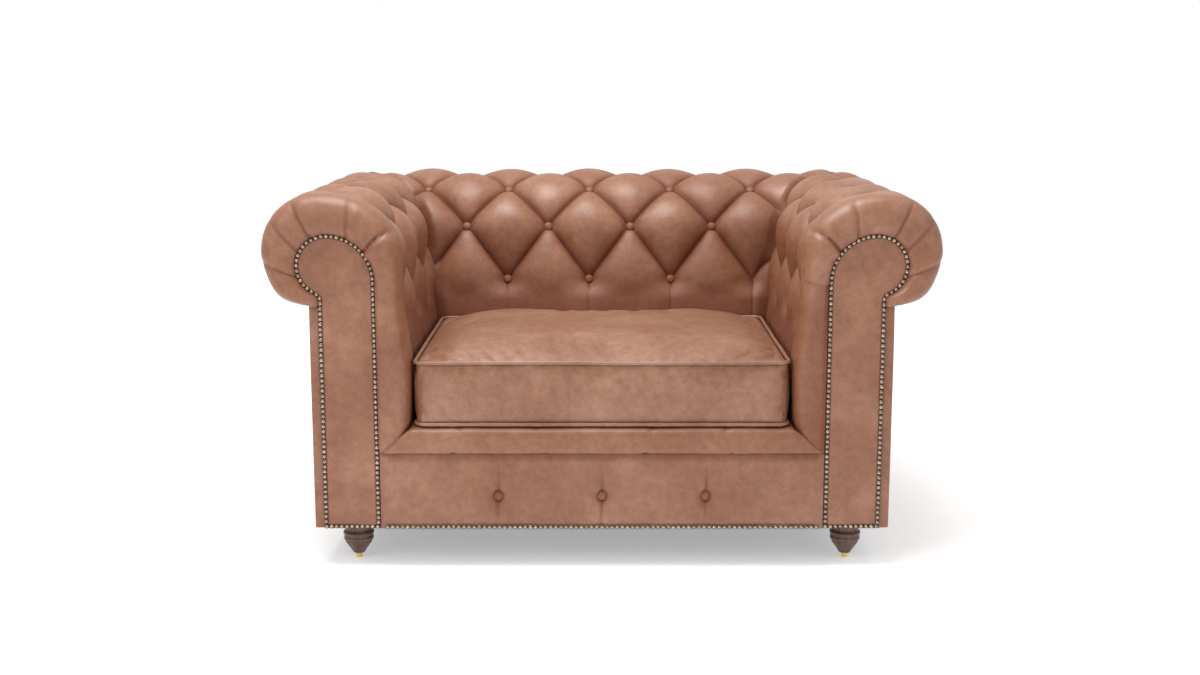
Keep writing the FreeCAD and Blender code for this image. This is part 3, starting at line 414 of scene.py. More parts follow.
# %% Metal and cloth
def metal_finish(name, bright, dull, roughness, scale=120.0, shaded_rim=None):
    """Metal with patches of tarnish, and a painted shaded rim where the fold shade says so."""
    material, tree, shader, add = new_material(name)
    where = add("ShaderNodeTexCoord")
    patches = noise_at(add, tree, where, scale, 4.0, 0.6)
    ramp = colour_ramp(add, [(0.35, dull), (0.62, bright)])
    tree.links.new(patches.outputs["Fac"], ramp.inputs["Fac"])
    colour = ramp.outputs["Color"]
    # Painted shade: the rim is darkened where the fold shade says so, in place of the shadow round the head.
    if shaded_rim:
        fold_shade = add("ShaderNodeAttribute", attribute_name="fold_shade")
        colour = mix_colour(add, tree, "MIX", fold_shade.outputs["Fac"], colour, shaded_rim)
    tree.links.new(colour, shader.inputs["Base Color"])
    rough = map_range(add, tree, patches.outputs["Fac"], 0.3, 0.7, roughness + 0.12, roughness)
    tree.links.new(rough, shader.inputs["Roughness"])
    shader.inputs["Metallic"].default_value = 1.0
    return material


def cloth_finish(name, pale, dark, thread, roughness=0.9):
    """Plain weave with threads of a width, along two directions each."""
    material, tree, shader, add = new_material(name)
    where = add("ShaderNodeTexCoord")
    waves = []
    for direction in ("X", "Y", "Z"):
        wave = add("ShaderNodeTexWave", bands_direction=direction)
        wave.inputs["Scale"].default_value = math.pi / (10 * thread)
        wave.inputs["Distortion"].default_value = 0.6
        tree.links.new(where.outputs["Object"], wave.inputs["Vector"])
        waves.append(wave.outputs["Fac"])
    height = calculate(add, tree, "MULTIPLY", waves[0], waves[1])
    height = calculate(add, tree, "ADD", height, calculate(add, tree, "MULTIPLY", waves[2], 0.5))
    fuzz = noise_at(add, tree, where, 90.0, 4.0, 0.7)
    tone = calculate(add, tree, "ADD", calculate(add, tree, "MULTIPLY", height, 0.5), fuzz.outputs["Fac"])
    ramp = colour_ramp(add, [(0.40, dark), (1.0, pale)])
    tree.links.new(tone, ramp.inputs["Fac"])
    tree.links.new(ramp.outputs["Color"], shader.inputs["Base Color"])
    shader.inputs["Roughness"].default_value = roughness
    bump_from(add, tree, shader, height, 0.5, thread * 0.4)
    return material


nail_brass = metal_finish("antique_nail_brass", (0.52, 0.42, 0.33), (0.23, 0.16, 0.105), 0.30, 200.0,
                          shaded_rim=(0.035, 0.022, 0.014))
stud_brass = metal_finish("stud_brass", (0.86, 0.62, 0.22), (0.62, 0.40, 0.12), 0.20)
spring_steel = metal_finish("spring_steel", (0.42, 0.42, 0.44), (0.22, 0.21, 0.21), 0.35)
zip_brass = metal_finish("zip_brass", (0.55, 0.42, 0.22), (0.30, 0.22, 0.12), 0.30)
jute = cloth_finish("jute_webbing", (0.56, 0.43, 0.26), (0.30, 0.21, 0.11), 0.0028)
dust_cloth = cloth_finish("dust_cloth", (0.035, 0.035, 0.038), (0.012, 0.012, 0.013), 0.0012)
deck_cloth = cloth_finish("deck_cloth", (0.20, 0.12, 0.08), (0.10, 0.055, 0.035), 0.0012)
zip_cloth = cloth_finish("zip_cloth", (0.14, 0.07, 0.045), (0.06, 0.03, 0.02), 0.0008)
print("cloths and metals:", len(bpy.data.materials) - 5)


# %% [markdown]
# ## The rolled profile
# Cut an arm through and its leather follows one line: straight up from the seat, leaning outwards, then over
# the roll and down its far side to the outside panel. Arms and back share this line with other radii. It is
# measured by length along the leather, from the lowest row of buttons, because that is how the buttons are
# spaced.

# %% Profile of a roll
def roll_profile(face, roll_middle, crest_width, inner_radius, panel):
    """Points (across, up) along the leather, and a length for each that is 0 at the lowest buttons."""
    start = np.array([face, lean_start])
    inner = np.array([roll_middle - crest_width, crest - inner_radius])
    outer = np.array([roll_middle, crest - roll_radius])
    away = start - inner
    bearing = math.atan2(away[1], away[0]) - math.acos(inner_radius / np.linalg.norm(away))
    bearing %= 2 * math.pi
    foot = -math.acos((panel - roll_middle) / roll_radius)
    over = np.linspace(bearing, math.pi / 2, 200)
    down = np.linspace(math.pi / 2, foot, 300)
    line = np.concatenate([
        [[face, tuck]],
        [start],
        inner + inner_radius * np.stack([np.cos(over), np.sin(over)], axis=1),
        outer + roll_radius * np.stack([np.cos(down), np.sin(down)], axis=1),
    ])
    lengths = lengths_along(line)
    return line, lengths - np.interp(row_height, line[:3, 1], lengths[:3])


rows_below, rows_per_step, rows_above = 52, 30, 60
grid_column = column_pitch / 60


def sampled(line, lengths):
    """The profile at one point per grid row, with every row of buttons on a grid row."""
    below = np.linspace(lengths[0], 0, rows_below + 1)[:-1]
    among = np.arange(3 * rows_per_step) * row_step / rows_per_step
    above = np.linspace(3 * row_step, lengths[-1], rows_above + 1)
    along = np.concatenate([below, among, above])
    return np.stack([np.interp(along, lengths, line[:, axis]) for axis in (0, 1)], axis=1), along


arm_line, arm_along = sampled(*roll_profile(inside, half_width - roll_radius, 0.010, arm_inner_radius, panel_x))
back_line, back_along = sampled(*roll_profile(back_face, rear - roll_radius, 0.015, back_inner_radius, panel_y))
row_count = len(arm_along)
print("rows", row_count, "arm leather", round(arm_along[-1] - arm_along[0], 3), "m")

# %% [markdown]
# ## Buttoning
# Deep buttoning lays the buttons out in diamonds. Between two buttons on a diagonal the leather is folded, and
# inside each diamond the stuffing swells. In a slanted pair of coordinates every button sits at whole numbers
# and every fold lies on a whole line, so the swell is a product of two sines. Past the lowest and the highest
# row the folds run straight, down to the seat or over the roll.


# %% How far the leather is pulled in
fold_depth = 0.026  # from the fullest part of a diamond down to its folds
arm_fullness, back_fullness = 0.019, 0.007  # how far the fullest diamonds stand out
button_dip = 0.0085  # how much deeper the leather lies right at a button


def ridge(value, soft=0.05):
    """A wave that is 0 on whole numbers, with a valley that is sharp but not a crack, and 1 between them."""
    wave = np.abs(np.sin(math.pi * value))
    return (np.sqrt(wave ** 2 + soft ** 2) - soft) / (math.sqrt(1 + soft ** 2) - soft)


def pulled_in(place, along, first, buttons, proud):
    """Depth of the leather under its smooth surface, at places along the row and lengths up the leather.

    first is the place of one button of the lowest row. proud is how far the fullest diamonds stand out.
    """
    climb = np.clip(along, 0, 3 * row_step) / (2 * row_step)
    turn = (place - first) / column_pitch

    swell = (ridge(turn + climb) * ridge(climb - turn)) ** 0.50
    shoulder = np.exp(-((along - 1.15 * row_step) / 0.150) ** 2)
    depth = fold_depth * (1 - swell) - proud * shoulder * swell ** 0.8
    slant = 1 / math.hypot(1 / column_pitch, 1 / (2 * row_step))
    lines = (turn + climb, climb - turn)
    to_fold = np.minimum(*(np.abs(line - np.round(line)) for line in lines))
    crease = np.exp(-to_fold * slant / 0.0045) * (1 - 0.6 * smooth((along - 3 * row_step) / 0.22))
    depth = depth * (1 - 0.75 * smooth((along - 3 * row_step) / 0.26))
    below = smooth(-along / 0.050)
    nearest = (turn - np.round(turn)) * column_pitch
    seam = 0.0034 * np.exp(-np.abs(nearest) / 0.0020) + 0.0026 * np.exp(-(nearest / 0.022) ** 2)
    depth = depth * (1 - below) + (0.0040 + seam) * below
    crease = crease * (1 - below) + np.exp(-np.abs(nearest) / 0.0022) * 0.22 * below
    # Painted shade: the creases and the deep parts of each diamond, and the low recess down by the seat, are darkened
    # in place of their shadows.
    shadow = 0.80 * crease + 0.44 * np.clip(depth / fold_depth, 0, 1)
    low_recess_shade = 0.78 * smooth(0.42 - along / 0.20)
    fold_shade = np.maximum(shadow, low_recess_shade) + 0.12 * np.minimum(shadow, low_recess_shade)
    for spot, height in buttons:
        reach = (place - spot) ** 2 + (along - height) ** 2
        depth = depth + button_dip * np.exp(-reach / 0.017 ** 2)
        # Painted shade round each button, wider on the top rows.
        shade_radius = 0.022 if height > 1.5 * row_step else 0.017
        fold_shade = np.maximum(fold_shade, 1.10 * np.exp(-reach / shade_radius ** 2))
    return depth, np.clip(fold_shade, 0, 1)


def button_rows(first, low, limit):
    """(place, length up the leather) of every button, from a low end to a limit that depends on the row."""
    spots = []
    for row in range(4):
        start = first + (row % 2) * column_pitch / 2
        start -= math.floor((start - low) / column_pitch) * column_pitch
        spots += [(place, row * row_step) for place in np.arange(start, limit(row) + 1e-6, column_pitch)]
    return spots


share = np.clip((arm_line[:, 0] - inside) / (half_width - inside), 0, 1)
back_share = np.clip((back_line[:, 0] - back_face) / (rear - back_face), 0, 1)
mitre_share = (share + back_share) / 2
mitre = np.stack([inside + mitre_share * (half_width - inside),
                  back_face + mitre_share * (rear - back_face),
                  (arm_line[:, 1] + back_line[:, 1]) / 2], axis=1)
row_of = [rows_below + row * rows_per_step for row in range(4)]
arm_buttons = button_rows(front + arm_first, front + 0.10,
                          lambda row: back_face + (arm_line[row_of[row], 0] - inside)
                          * (rear - back_face) / (half_width - inside) - column_pitch * 0.22)
back_limit = [inside + (back_line[row_of[row], 0] - back_face) * (half_width - inside) / (rear - back_face)
              - column_pitch * 0.22 for row in range(4)]
back_buttons = []
for row in range(4):
    start = back_shift + (0.5 if row % 2 == 0 else 0) * column_pitch
    back_buttons += [(start + step * column_pitch, row * row_step) for step in range(-5, 6)
                     if abs(start + step * column_pitch) <= back_limit[row]]
print("buttons on an arm:", len(arm_buttons), "and on the back:", len(back_buttons))


# %% [markdown]
# ## One leather for an arm
# The arm's leather starts under the edge of the flat facing, swells out into the rounded front, and runs back
# to the corner. There it meets the leather of the back along a mitre, so both are clipped to one shared line.
# The outer corner is rounded in plan, as the stuffing rounds it.

# %% Facing outline
def facing_outline(inset, step=0.004):
    """The keyhole from its inner lower corner round the head to its outer lower corner, moved inwards."""
    scroll = half_width - scroll_inset
    inner = facing_inner + inset
    outer = facing_outer - inset
    head = scroll - inner
    head_middle = np.array([scroll, facing_top - inset - head])
    small = scroll_radius - inset
    small_middle = np.array([scroll, facing_top - scroll_radius])
    hollow = neck_radius + inset
    across = outer + hollow - scroll
    fall = math.sqrt((small + hollow) ** 2 - across ** 2)
    hollow_middle = small_middle + np.array([across, -fall])
    touch = math.atan2(-fall, across)

    def arc(middle, radius, start, finish):
        count = max(3, int(abs(finish - start) * radius / step))
        turn = np.linspace(start, finish, count)
        return middle + radius * np.stack([np.cos(turn), np.sin(turn)], axis=1)

    def straight(first, last):
        count = max(2, int(np.linalg.norm(np.subtract(last, first)) / step))
        return np.linspace(first, last, count)

    pieces = [
        straight((inner, base), (inner, head_middle[1])),
        arc(head_middle, head, math.pi, math.pi / 2),
        arc(small_middle, small, math.pi / 2, touch),
        arc(hollow_middle, hollow, touch + math.pi, math.pi),
        straight((outer, hollow_middle[1]), (outer, base)),
    ]
    line = [pieces[0][0]]
    for piece in pieces:
        line += [point for point in piece if np.linalg.norm(point - line[-1]) > 1e-5]
    return np.array(line)


keyhole = facing_outline(0)
print("facing outline", len(keyhole), "points, top at", round(keyhole[:, 1].max(), 3))


# %% Match the roll to the facing
def facing_partner():
    """For each row of the arm's leather, the point of the facing's edge that it is gathered to."""
    edge = facing_outline(0.002, 0.001)
    lengths = lengths_along(edge)
    level = 0.600
    neck_index = np.argmax(np.where(edge[:, 0] > half_width - scroll_inset, edge[:, 1] < panel_top + 0.0008, False))
    start = level - base
    finish = lengths[neck_index]
    arm_start = np.interp(level, arm_line[:rows_below + 20, 1], arm_along[:rows_below + 20])
    share_up = np.clip((arm_along - arm_start) / (arm_along[-1] - arm_start), 0, 1)
    at = start + share_up * (finish - start)
    partner = at_lengths(edge, lengths, at)
    low = arm_line[:, 1] < level
    low &= arm_along < arm_start
    partner[low, 1] = arm_line[low, 1]
    return partner, share_up


partner, round_share = facing_partner()
ring_steps = 18
front_columns = 21  # grid columns from the first button forward to where the rounding begins
ring_end = front + arm_first - front_columns * grid_column
ring_front = front - 0.003
square = 0.64  # below 1 the front of the padding is flatter and its edge turns sooner
print("front padding from", round(ring_front, 3), "to", round(ring_end, 3))

# %% Smooth surface of an arm
def arm_surface():
    """The right arm's leather with nothing pulling at it: points row by row, the height of the foot below each
    point, and the places of the columns behind the rounded front."""
    turn_in = np.linspace(math.pi / 2, 0, 6)[:-1]
    turn_out = np.linspace(0, math.pi / 2, ring_steps - 4)
    spread = np.concatenate([0.28 * (1 - np.sin(turn_in)), 0.28 + 0.72 * np.sin(turn_out) ** square])
    deepest = ring_end - ring_front
    depth_back = np.concatenate([0.016 * (1 - np.cos(turn_in)), deepest * (1 - np.cos(turn_out) ** square)])
    run = np.arange(ring_end + grid_column, rear, grid_column)
    rounding = len(spread)
    points = np.zeros((row_count, rounding + len(run), 3))
    for index in range(rounding):
        flat = partner + (arm_line - partner) * spread[index]
        points[:, index, 0] = flat[:, 0]
        points[:, index, 1] = ring_front + depth_back[index]
        points[:, index, 2] = flat[:, 1]
    points[:, rounding:, 0] = arm_line[:, None, 0]
    points[:, rounding:, 1] = run[None, :]
    points[:, rounding:, 2] = arm_line[:, None, 1]

    # The lower end of the front follows the mitre of the border.
    foot = np.interp(points[..., 0], [inside, facing_inner], [lip_high, lip_low])
    foot = np.where(points[..., 1] < lip_back, foot, tuck)
    low_part = (points[..., 2] < foot_reach) & inner_low
    lifted = foot + (points[..., 2] - tuck) * (foot_reach - foot) / (foot_reach - tuck)
    points[..., 2] = np.where(low_part, lifted, points[..., 2])
    return points, foot, run


foot_reach = 0.40  # up to here the arm's front is drawn towards the mitre
inner_low = np.arange(row_count)[:, None] < rows_below
print("arm surface", arm_surface()[0].shape)

# %% Pleats of the rounded front
pleats = {"left": [0.204, 0.326, 0.53, 0.63, 0.78], "right": [0.0, 0.204, 0.326, 0.53, 0.63, 0.78]}
level_pleat = 0.204  # the one that runs in level, towards the seat


def pleated(side, depth, fold_shade, behind):
    """Pleats that fan out from the facing across the rounded front, each with painted shade along its line."""
    strength = smooth(behind / 0.10) * (1 - smooth((behind - 0.35) / 0.75))
    gap = (arm_along[-1] - arm_along[0]) * 0.62
    shoulder = np.exp(-((arm_along - 0.155) / 0.105) ** 2)[:, None]
    depth = depth - 0.021 * shoulder * smooth(behind / 0.9) * (1 - smooth((behind - 1.0) / 0.8))
    for pleat in pleats[side]:
        level = pleat == level_pleat
        off = (round_share[:, None] - pleat) * gap + behind * (0.024 if level else 0.010 * (pleat - 0.45))
        deep = 2.0 if level else 1.0
        depth = depth + 0.0060 * deep * strength * np.exp(-np.abs(off) / 0.0034)
        depth = depth - 0.0022 * deep * strength * np.exp(-((off + 0.017) / 0.013) ** 2)
        fold_shade = np.maximum(fold_shade, 0.72 * strength * np.exp(-np.abs(off) / 0.0036))
    return depth, fold_shade


# %% How deep an arm's leather lies
def arm_depth(side, points, foot, run):
    """Depth under the smooth surface and painted fold shade of each point: buttons, pleats, seam and loose fullness.
    """
    rounding = points.shape[1] - len(run)
    place = np.concatenate([np.full(rounding, ring_end), run])
    fade = smooth((place - (ring_end - 0.002)) / 0.075)[None, :]
    depth, fold_shade = pulled_in(place[None, :], arm_along[:, None], front + arm_first, arm_buttons,
                           arm_fullness)
    behind = np.concatenate([np.linspace(0, 1, rounding), 1 + (run - ring_end) / 0.09])[None, :]
    depth, fold_shade = pleated(side, depth * fade, fold_shade * fade, behind)
    seam = np.minimum(np.abs(points[..., 2] - foot), 0.05)
    near_seam = (points[..., 1] < ring_end) & inner_low
    depth = depth + 0.0025 * np.exp(-(seam / 0.006) ** 2) * near_seam
    # Painted shade along the seam at the foot of the front.
    fold_shade = np.maximum(fold_shade, 0.5 * np.exp(-(seam / 0.004) ** 2) * near_seam)
    depth = depth + 0.0014 * ripple(points) * smooth(behind)
    depth = depth - 0.0028 * (np.exp(-((arm_along + 0.15) / 0.09) ** 2)[:, None]) * smooth(behind / 0.8)
    under = (arm_along[-1] - arm_along)[:, None]
    depth = depth - 0.0085 * np.exp(-((under - 0.062) / 0.040) ** 2) * smooth(under / 0.02) * smooth(behind / 0.5)
    return depth, fold_shade


# %% Corner shared by an arm and the back
mitre_depth, mitre_width, mitre_blend = 0.022, 0.022, 0.07


def mitre_pull():
    """How the leather is drawn in along the mitre: a deep fold inside the corner, nothing outside."""
    climb = np.clip((arm_along - 0.1) / 0.42, 0, 1)
    deep = mitre_depth * (1 - smooth(climb))
    inner_turn = np.gradient(mitre, axis=0)
    slope = inner_turn / np.maximum(np.linalg.norm(inner_turn, axis=1, keepdims=True), 1e-9)
    diagonal = np.array([half_width - inside, rear - back_face, 0])
    diagonal = diagonal / np.linalg.norm(diagonal)
    flat = slope @ diagonal
    inwards = diagonal[None, :] * slope[:, 2:3] - np.array([0, 0, 1.0])[None, :] * flat[:, None]
    return -inwards * deep[:, None]


corner_radius = 0.165


def rounded_corner(points):
    """Round the square outer corner in plan."""
    x0, y0 = half_width - corner_radius, rear - corner_radius
    a = np.maximum(points[..., 0] - x0, 0)
    b = np.maximum(points[..., 1] - y0, 0)
    both = (a > 1e-9) & (b > 1e-9)
    scale = np.where(both, np.maximum(a, b) / np.maximum(np.hypot(a, b), 1e-9), 1.0)
    result = points.copy()
    result[..., 0] = np.where(both, x0 + a * scale, points[..., 0])
    result[..., 1] = np.where(both, y0 + b * scale, points[..., 1])
    return result


def mitre_fold_shade(fold_shade, along, to_mitre):
    """The fold shade with a painted shadow line where the two leathers meet inside the corner."""
    inner_rows = (1 - smooth((along - 0.24) / 0.14))[:, None]
    return np.maximum(fold_shade, 0.85 * inner_rows * np.exp(-np.maximum(to_mitre, 0) / 0.011))


print("mitre", len(mitre), "points, deepest", round(float(np.linalg.norm(mitre_pull(), axis=1).max()), 3))


# %% Leather of the arms
def arm_leather(side):
    """Points of an arm's leather as on the right, row by row, and the painted shade of each from how deep it lies in
    a fold.
    """
    points, foot, run = arm_surface()
    normal = -grid_normals(points)
    depth, fold_shade = arm_depth(side, points, foot, run)
    to_mitre = mitre[:, None, 1] - points[..., 1]
    fold_shade = mitre_fold_shade(fold_shade, arm_along, to_mitre)
    blend = 1 - smooth(to_mitre / mitre_blend)
    points[..., 0] += (mitre[:, None, 0] - points[..., 0]) * blend
    points[..., 2] += (mitre[:, None, 2] - points[..., 2]) * blend
    tight = 1 - smooth(to_mitre / mitre_width)
    own = depth[..., None] * (1 - tight[..., None]) * normal
    points = points - own - tight[..., None] * mitre_pull()[:, None, :]
    points = np.where((to_mitre <= 0)[..., None], (mitre - mitre_pull())[:, None, :], points)
    points = rounded_corner(points)
    flange = points[:1] + np.array([0.0, 0.004, 0.0])
    flange[..., 2] = np.where(flange[..., 1] < lip_back, lip_low + 0.002, tuck - 0.002)
    points = np.concatenate([flange, points])
    return points, np.concatenate([fold_shade[:1], fold_shade])


arm_leathers = {}
for side, sign in (("left", -1), ("right", 1)):
    arm_points, arm_fold_shade = arm_leather(side)
    leather_piece = grid_object(f"{side}_arm_leather", arm_points * np.array([sign, 1, 1]), flip=sign > 0,
                                values=arm_fold_shade)
    leather_piece.data.materials.append(leather)
    arm_leathers[side] = leather_piece
    print(leather_piece.name, len(leather_piece.data.polygons), "faces")


# %% [markdown]
# The back is the same idea without a front: one run of columns between the two mitres.

# %% Leather of the back
def back_leather():
    """Points of the back's leather and the painted shade of each from how deep it lies in a fold."""
    steps = int(half_width / grid_column) + 30
    run = back_shift + np.arange(-steps, steps + 1) * grid_column
    run = run[np.abs(run) < half_width + grid_column]
    points = np.zeros((row_count, len(run), 3))
    points[..., 0] = run[None, :]
    points[..., 1] = back_line[:, None, 0]
    points[..., 2] = back_line[:, None, 1]
    normal = grid_normals(points)
    depth, fold_shade = pulled_in(run[None, :], back_along[:, None], back_shift + column_pitch / 2, back_buttons,
                           back_fullness)
    depth = depth + 0.0014 * ripple(points, seed=4.0)
    to_mitre = mitre[:, None, 0] - np.abs(run)[None, :]
    fold_shade = mitre_fold_shade(fold_shade, back_along, to_mitre)
    side = np.where(run < 0, -1.0, 1.0)[None, :, None] * np.array([1, 0, 0]) + np.array([0, 1, 1])
    shared = mitre[:, None, :] * side
    pull = mitre_pull()[:, None, :] * side
    blend = (1 - smooth(to_mitre / mitre_blend))[..., None]
    points[..., 1:] += (shared[..., 1:] - points[..., 1:]) * blend
    tight = (1 - smooth(to_mitre / mitre_width))[..., None]
    points = points - depth[..., None] * (1 - tight) * normal - tight * pull
    points = np.where((to_mitre <= 0)[..., None], shared - pull, points)
    mirrored = points * side
    points = rounded_corner(mirrored) * side
    return points, fold_shade


back_points, back_fold_shade = back_leather()
back_piece = grid_object("back_leather", back_points, values=back_fold_shade)
back_piece.data.materials.append(leather)
print(back_piece.name, len(back_piece.data.polygons), "faces")


# %% [markdown]
# ## Nails and covered buttons
# A row of domed nails is the same head again and again, driven by hand: each a little turned, tipped and larger
# or smaller. That is work for Geometry Nodes. The tree sets a head on every point of a mesh, with its axis along
# the point's aim, and varies it by a fixed seed. The same tree sets the covered buttons and the staples.
# The points come from the CAD model, which holds where each nail and button is.

# %% Small steps inside a geometry tree
def tree_step(tree, operation, socket, number):
    """One step of arithmetic between a socket and a number."""
    node = tree.nodes.new("ShaderNodeMath")
    node.operation = operation
    tree.links.new(socket, node.inputs[0])
    node.inputs[1].default_value = number
    return node.outputs[0]


def chance(tree, reach, seed, offset):
    """A random number for each point, from minus to plus what a socket says, by a seed of its own."""
    node = tree.nodes.new("FunctionNodeRandomValue")
    tree.links.new(tree_step(tree, "MULTIPLY", reach, -1), node.inputs[2])
    tree.links.new(reach, node.inputs[3])
    tree.links.new(tree_step(tree, "ADD", seed, offset), node.inputs["Seed"])
    return node.outputs[1]


# %% A tree that sets one shape on many points
def setting_tree():
    """Geometry nodes: a shape on each point, aimed, turned, tipped and sized a little differently."""
    tree = bpy.data.node_groups.new("set_on_points", "GeometryNodeTree")
    sockets = (("Points", "Geometry"), ("Shape", "Object"), ("Finish", "Material"), ("Turn", "Float"),
               ("Tip", "Float"), ("Size change", "Float"), ("Seed", "Int"))
    for name, kind in sockets:
        tree.interface.new_socket(name, in_out="INPUT", socket_type=f"NodeSocket{kind}")
    tree.interface.new_socket("Set shapes", in_out="OUTPUT", socket_type="NodeSocketGeometry")
    add, link = tree.nodes.new, tree.links.new
    given, result = add("NodeGroupInput").outputs, add("NodeGroupOutput")
    seed = given["Seed"]

    aim = add("GeometryNodeInputNamedAttribute")
    aim.data_type = "FLOAT_VECTOR"
    aim.inputs["Name"].default_value = "aim"
    align = add("FunctionNodeAlignRotationToVector")
    align.axis = "Z"
    link(aim.outputs[0], align.inputs["Vector"])
    angles = add("ShaderNodeCombineXYZ")
    for offset, (axis, reach) in enumerate((("X", "Tip"), ("Y", "Tip"), ("Z", "Turn")), 1):
        link(chance(tree, given[reach], seed, offset), angles.inputs[axis])
    rotate = add("FunctionNodeRotateRotation")
    rotate.rotation_space = "LOCAL"
    link(align.outputs[0], rotate.inputs[0])
    link(angles.outputs[0], rotate.inputs[1])
    size = tree_step(tree, "ADD", chance(tree, given["Size change"], seed, 4), 1)
    shape = add("GeometryNodeObjectInfo")
    link(given["Shape"], shape.inputs["Object"])
    setter = add("GeometryNodeInstanceOnPoints")
    for name, socket in (("Points", given["Points"]), ("Instance", shape.outputs["Geometry"]),
                         ("Rotation", rotate.outputs[0]), ("Scale", size)):
        link(socket, setter.inputs[name])
    real = add("GeometryNodeRealizeInstances")
    link(setter.outputs[0], real.inputs[0])
    finish = add("GeometryNodeSetMaterial")
    link(real.outputs[0], finish.inputs["Geometry"])
    link(given["Finish"], finish.inputs["Material"])
    link(finish.outputs[0], result.inputs[0])
    return tree


set_on_points = setting_tree()


def set_pieces(name, spots, aims, shape, finish, turn=3.14, tip=0.06, change=0.04, seed=1):
    """One mesh: a copy of a shape on each spot, aimed along a direction."""
    points = mesh_object(f"{name}_points", spots, [])
    aim = points.data.attributes.new("aim", "FLOAT_VECTOR", "POINT")
    aim.data.foreach_set("vector", np.asarray(aims, float).reshape(-1))
    modifier = points.modifiers.new("set", "NODES")
    modifier.node_group = set_on_points
    values = {"Shape": shape, "Finish": finish, "Turn": turn, "Tip": tip, "Size change": change, "Seed": seed}
    for item in set_on_points.interface.items_tree:
        if item.item_type == "SOCKET" and item.in_out == "INPUT" and item.name in values:
            modifier[item.identifier] = values[item.name]
    reader = bpy.context.evaluated_depsgraph_get()
    mesh = bpy.data.meshes.new_from_object(points.evaluated_get(reader))
    mesh.name = name
    result = bpy.data.objects.new(name, mesh)
    bpy.context.scene.collection.objects.link(result)
    bpy.data.objects.remove(points)
    mesh.shade_smooth()
    return result


print("tree nodes:", len(set_on_points.nodes))


# %% Where the CAD model has its nails and buttons
def clusters(node, near):
    """Groups of a node's vertices that lie close together, one for each nail or button."""
    left = vertex_array(nodes[node].data)
    found = []
    while len(left):
        close = np.linalg.norm(left - left[0], axis=1) < near
        found.append(left[close])
        left = left[~close]
    return found


def nail_spots(node):
    """The middle of each nail's head on the front plane of a node."""
    where = vertex_array(nodes[node].data)
    tips = where[where[:, 1] < where[:, 1].min() + 0.00002]
    return np.unique(np.round(tips, 5), axis=0), where[:, 1].min()


def disc_of(points, middle):
    """The centre of a button and the direction that it faces."""
    box_middle = (points.max(axis=0) + points.min(axis=0)) / 2
    centre = points.mean(axis=0) * 0.5 + box_middle * 0.5
    axis = np.linalg.svd(np.unique(np.round(points - points.mean(axis=0), 5), axis=0))[2][2]
    return centre, axis * np.sign(axis @ (middle - centre))


nail_rows = {name: nail_spots(name) for name in ("left_facing_nails", "right_facing_nails", "front_rail_nails")}
for name, (spots, tip_y) in nail_rows.items():
    print(name, len(spots), "nails, domes reach y", round(tip_y, 4))


# %% [markdown]
# The nail head is a dome of few faces, slightly hammered, so that a row of hundreds stays light. The button is
# a dome too, drawn over with leather that is pinched in at the rim.

# %% A nail head, a button and a staple
def turned_shape(name, outline, sides, uneven=0.0):
    """A closed shape of revolution about Z from (radius, height) points, first at the axis."""
    points = [(0, 0, outline[0][1])]
    for index, (radius, height) in enumerate(outline[1:]):
        for side in range(sides):
            turn = 2 * math.pi * (side + 0.5 * index) / sides
            bend = 1 + uneven * math.sin(3 * turn + 2 * index)
            points.append((radius * bend * math.cos(turn), radius * bend * math.sin(turn), height))
    faces = [(0, 1 + side, 1 + (side + 1) % sides) for side in range(sides)]
    for index in range(len(outline) - 2):
        a, b = 1 + index * sides, 1 + (index + 1) * sides
        faces += [(a + s, b + s, b + (s + 1) % sides, a + (s + 1) % sides) for s in range(sides)]
    last = 1 + (len(outline) - 2) * sides
    faces.append(tuple(last + side for side in range(sides))[::-1])
    thing = mesh_object(name, points, faces)
    outward(thing)
    return thing


nail_dome = 0.0032
dome = [(0, nail_dome), (nail_radius * 0.42, nail_dome * 0.90), (nail_radius * 0.78, nail_dome * 0.60),
        (nail_radius * 0.97, nail_dome * 0.20), (nail_radius, 0.0), (nail_radius * 0.95, -0.0006)]
nail_head = turned_shape("nail_head", dome, 10, 0.03)
# Painted shade: each nail head darkens towards its rim, in place of the shadow round its edge.
set_fold_shade(nail_head, np.concatenate([[0], np.repeat([0.05, 0.45, 0.95, 1.0, 1.0], 10)]))
button_height = 0.0062
cap = [(0, button_height), (0.0035, button_height * 0.97), (0.0068, button_height * 0.82),
       (0.0094, button_height * 0.52), (0.0108, button_height * 0.16), (0.0108, -0.0008), (0.0088, -0.0022)]
button_shape = turned_shape("covered_button", cap, 18, 0.015)
# Painted shade: the covered buttons are darkened as if in the shadow of their recess.
set_fold_shade(button_shape, np.full(len(button_shape.data.vertices), 0.45))
print("nail", len(nail_head.data.polygons), "faces, button", len(button_shape.data.polygons), "faces")

# %% Drive the nails
nail_pieces = []
for seed, (name, (spots, tip_y)) in enumerate(nail_rows.items(), 1):
    heads = spots.copy()
    heads[:, 1] = tip_y + nail_dome
    row = set_pieces(name.replace("nails", "nail_heads"), heads, np.tile([0, -1, 0], (len(heads), 1)),
                     nail_head, nail_brass, tip=0.10, change=0.05, seed=seed)
    nail_pieces.append((row, name))
    print(row.name, len(row.data.polygons), "faces")

